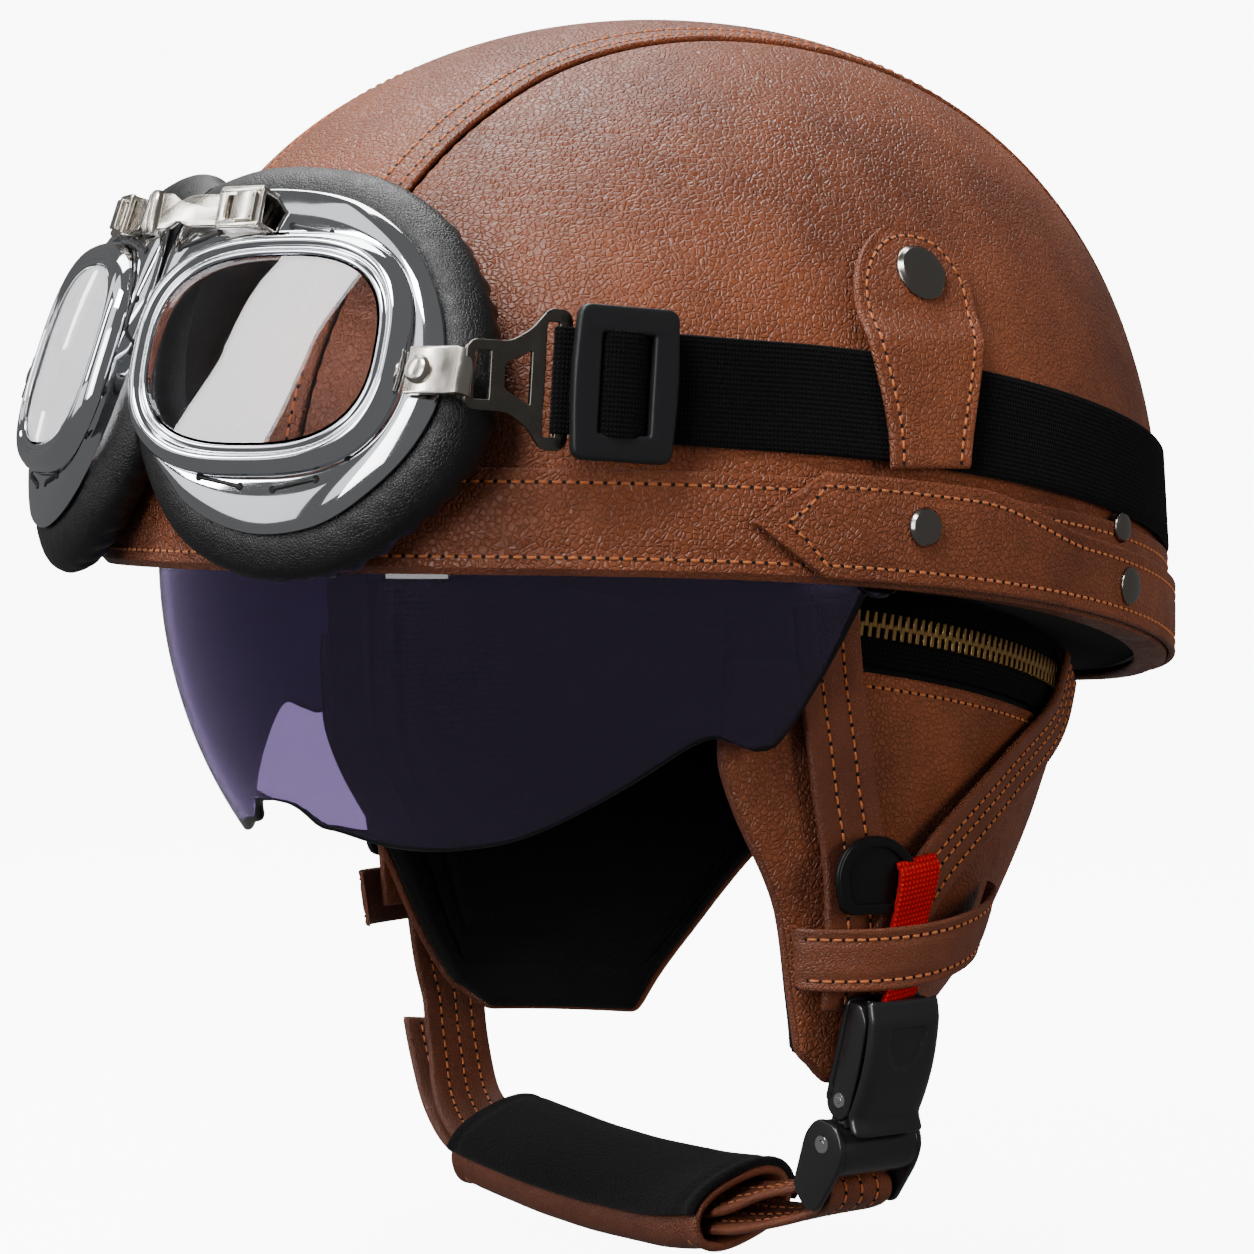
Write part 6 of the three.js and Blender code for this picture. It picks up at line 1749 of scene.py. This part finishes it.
loop_parts.append(leaf(loop_roof, (23, 20), (12, 40), 1.2, rounding=0.55))
make_piece("buckle_eye", loop_parts, gloss_black, "black_metal", ["buckle_loop"], caps=True)
rivets = []
for y, z, radius in ((-25.5, 3.6, 1.9), (LOOP_TOP, 2.8, 2.3)):
    for side, x in ((-1, -11.0), (1, 11.0)):
        x = x if y > -30 else side * 12.9
        rivets.append(turned([(0, 0.75), (radius * 0.35, 0.7), (radius * 0.45, 0.35), (radius * 0.6, 0.4),
                              (radius * 0.9, 0.3), (radius, 0), (radius, -1.2)],
                             buckle_place(np.array(x), np.array(y), np.array(z)), side * BUCKLE_BACK, 32))
make_piece("buckle_rivets", rivets, rivet_metal, "steel")
print("buckle closed")

# %% [markdown]
# ## Chin strap and its pad
# The chin strap is one long leaf. It starts under the far keeper, crosses to the buckle's bar, turns
# round it and comes back through a padded sleeve to a free end. Its line is a smooth curve through
# measured points, and it rolls a little so that its face lies against the chin.

# %% Lead the chin strap round
CHIN_WIDTH, CHIN_THICK, CHIN_ROLL = 20.0, 2.2, np.radians(20.0)
RIGHT_SIDE = float(curtain(np.pi / 2, -FLAP_DROP * 0.79)[0]) + 1.5 + 1.1 - 0.3
LOOP_BAR = buckle_place(np.array(0.0), np.array(BAR_Y), np.array(2.8))
CHIN_DOWN = [(0.79, 1, 1), (0.895, 0.997, 3), (1, 0.993, 6), (1.097, 0.969, 6)]
CHIN_ACROSS = [
    # side, y, below, roll
    (-0.886, 3, -0.23, 0.3), (-0.731, -1, 0.12, 0.9), (-0.487, -4, 0.28, 1), (-0.221, -5, 0.39, 1),
    (0.049, -5, 0.45, 1), (0.342, -5, 0.45, 1), (0.55, -4, 0.35, 0.8), (0.733, -2.5, 0.12, 0.35),
]
CHIN_RETURN = [
    (0.781, -2.5, 0.44, 0.35), (0.574, -4, 0.563, 0.8), (0.342, -5, 0.606, 1), (0.049, -5, 0.606, 1),
    (-0.221, -5, 0.546, 1),
    (-0.487, -4, 0.436, 1), (-0.753, -1, 0.284, 0.9), (-0.93, 2, -0.109, 0.3), (-1.035, 4, -0.73, 0),
    (-1.08, 5, -1.13, 0),
]


def chin_rows():
    rows = [(-side * RIGHT_SIDE, y, -drop * FLAP_DROP, 0) for drop, side, y in CHIN_DOWN]

    def placed(line):
        return [(side * (RIGHT_SIDE if side < 0 else LOOP_BAR[0]), y, LOOP_BAR[2] - drop * CHIN_WIDTH, roll)
                for side, y, drop, roll in line]

    # The strap turns round the buckle's bar in a small arc.
    arc = np.radians([150, 105, 60, 15, -30, -75])
    bend = [(LOOP_BAR[0] + 3.6 * np.cos(a), -1.0, LOOP_BAR[2] + 3.6 * np.sin(a), 0) for a in arc]
    return np.array(rows + placed(CHIN_ACROSS) + bend + placed(CHIN_RETURN), float)


CHIN_ROWS = chin_rows()
CHIN_STEPS = distances(CHIN_ROWS[:, :3])
CHIN_LENGTH = float(CHIN_STEPS[-1])
fine_steps = np.linspace(0, CHIN_LENGTH, 500)
CHIN_FINE = np.column_stack([
    curved_table(np.column_stack([CHIN_STEPS, CHIN_ROWS[:, k]]), fine_steps) for k in range(4)
])
CHIN_FINE = averaged(CHIN_FINE, 14)


def chin(u, v, h):
    at = u * CHIN_LENGTH
    centre = read_line(CHIN_FINE, fine_steps, at)
    along = unit(read_line(CHIN_FINE, fine_steps, at + 2) - read_line(CHIN_FINE, fine_steps, at - 2))
    roll = CHIN_ROLL * np.interp(at, fine_steps, CHIN_FINE[:, 3])
    across = np.stack([0 * roll, np.cos(roll), np.sin(roll)], -1)
    across = unit(across - along * np.sum(across * along, -1, keepdims=True))
    face = unit(np.cross(across, along))
    dent = sum(0.3 * np.exp(-((v - valley) * CHIN_WIDTH / 1.1) ** 2) for valley in (0.25, 0.5, 0.75))
    height = (h - CHIN_THICK / 2) * (1 - dent)
    return centre + across * ((v - 0.5) * CHIN_WIDTH)[..., None] + face * height[..., None]


make_piece("chin_strap_leather", [leaf(chin, (CHIN_LENGTH, CHIN_WIDTH), (300, 20), CHIN_THICK,
                                       rounding=1.1)], strap_leather, "strap_leather", ["chin_strap"])
run = np.linspace(0.005, 0.995, 700)
for valley in (0.25, 0.5, 0.75):
    sew_on(chin, run, valley, CHIN_THICK + 0.05, pitch=3.0, width=0.3)
    points = chin(run, np.full(700, valley), np.full(700, -0.05))
    sew(points, points - chin(run, np.full(700, valley), np.full(700, 1.3)), pitch=3.0, width=0.3)
print("chin strap", round(CHIN_LENGTH), "mm")


# %% Fill the chin pad
PAD_ROWS = [(0, 0.29, -2.6, 0.95), (0.2, 0.39, -4, 1), (0.4, 0.48, -5, 1), (0.6, 0.535, -5, 1),
            (0.8, 0.54, -5, 1), (1, 0.47, -4.2, 0.85)]
PAD_LENGTH, PAD_WIDE, PAD_THICK, PAD_WALL = 104.0, 15.5, 8.0, 2.2
PAD_MIDDLE = (LOOP_BAR[0] - RIGHT_SIDE) / 2 - 2.3


def pad_place(angle, share, wide, thick):
    x = PAD_MIDDLE + (share - 0.5) * PAD_LENGTH
    z = LOOP_BAR[2] - curved_table(PAD_ROWS, share, 1) * CHIN_WIDTH
    roll = CHIN_ROLL * curved_table(PAD_ROWS, share, 3)
    y_side = power(np.cos(angle), 0.8) * wide
    z_side = power(np.sin(angle), 0.8) * thick
    return point(x, curved_table(PAD_ROWS, share, 2) + np.cos(roll) * y_side - np.sin(roll) * z_side,
                 z + np.sin(roll) * y_side + np.cos(roll) * z_side)


def sleeve(u, v, h):
    near = np.minimum(v, 1 - v) * PAD_LENGTH
    flare = 0.5 * np.exp(-((near - 1.0) / 2.0) ** 2) - 0.35 * np.exp(-((near - 5.0) / 1.4) ** 2)
    return pad_place(2 * np.pi * u, v, PAD_WIDE - PAD_WALL + h + flare, PAD_THICK - PAD_WALL + h + flare)


sleeve_leaf = leaf(sleeve, (76, PAD_LENGTH), (84, 44), PAD_WALL, wrap=True, rounding=1.0)
make_piece("chin_sleeve_leather", [sleeve_leaf], strap_leather, "strap_leather", ["chin_sleeve"])
half_round = np.linspace(0.52, 0.98, 60)
for share in (0.045, 0.955):
    sew_on(sleeve, half_round, share, PAD_WALL, pitch=3.0, width=0.34)


def fleece_place(u, v, h):
    angle = np.pi * lerp(-0.12, 0.86, u)
    near = np.minimum(v, 1 - v) * PAD_LENGTH
    seam = 0.7 * np.exp(-((near - 4.0) / 1.2) ** 2)
    return pad_place(angle, v, PAD_WIDE + 0.3 + h * 0.7 - seam * (h > 1),
                     PAD_THICK + 0.4 + h * 0.75 - seam * (h > 1))


pad = make_piece("chin_pad_fleece", [leaf(fleece_place, (50, PAD_LENGTH), (44, 60), 3.2, rounding=1.5)],
                 fleece, "fabric", ["chin_fleece"])

# %% Hang up the thread
DOME_ROWS = 12
make_piece("stitches_dome", threads[:DOME_ROWS], orange_thread, "leather", merge=False)
make_piece("stitches_straps", threads[DOME_ROWS:], orange_thread, "leather", merge=False)
# The dark discs are painted shade in the needle holes.
make_piece("needle_hole_shade", holes, hole_shade_black, "leather", merge=False)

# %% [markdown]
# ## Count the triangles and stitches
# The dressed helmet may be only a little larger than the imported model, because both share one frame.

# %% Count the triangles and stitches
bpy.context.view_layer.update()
triangles = {piece.name: sum(len(polygon.vertices) - 2 for polygon in piece.data.polygons)
             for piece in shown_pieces() if piece.type == "MESH"}
print("triangles", sum(triangles.values()), "most", max(triangles.items(), key=lambda item: item[1]))
print("stitches", sum(len(part[0]) // 30 for part in threads))
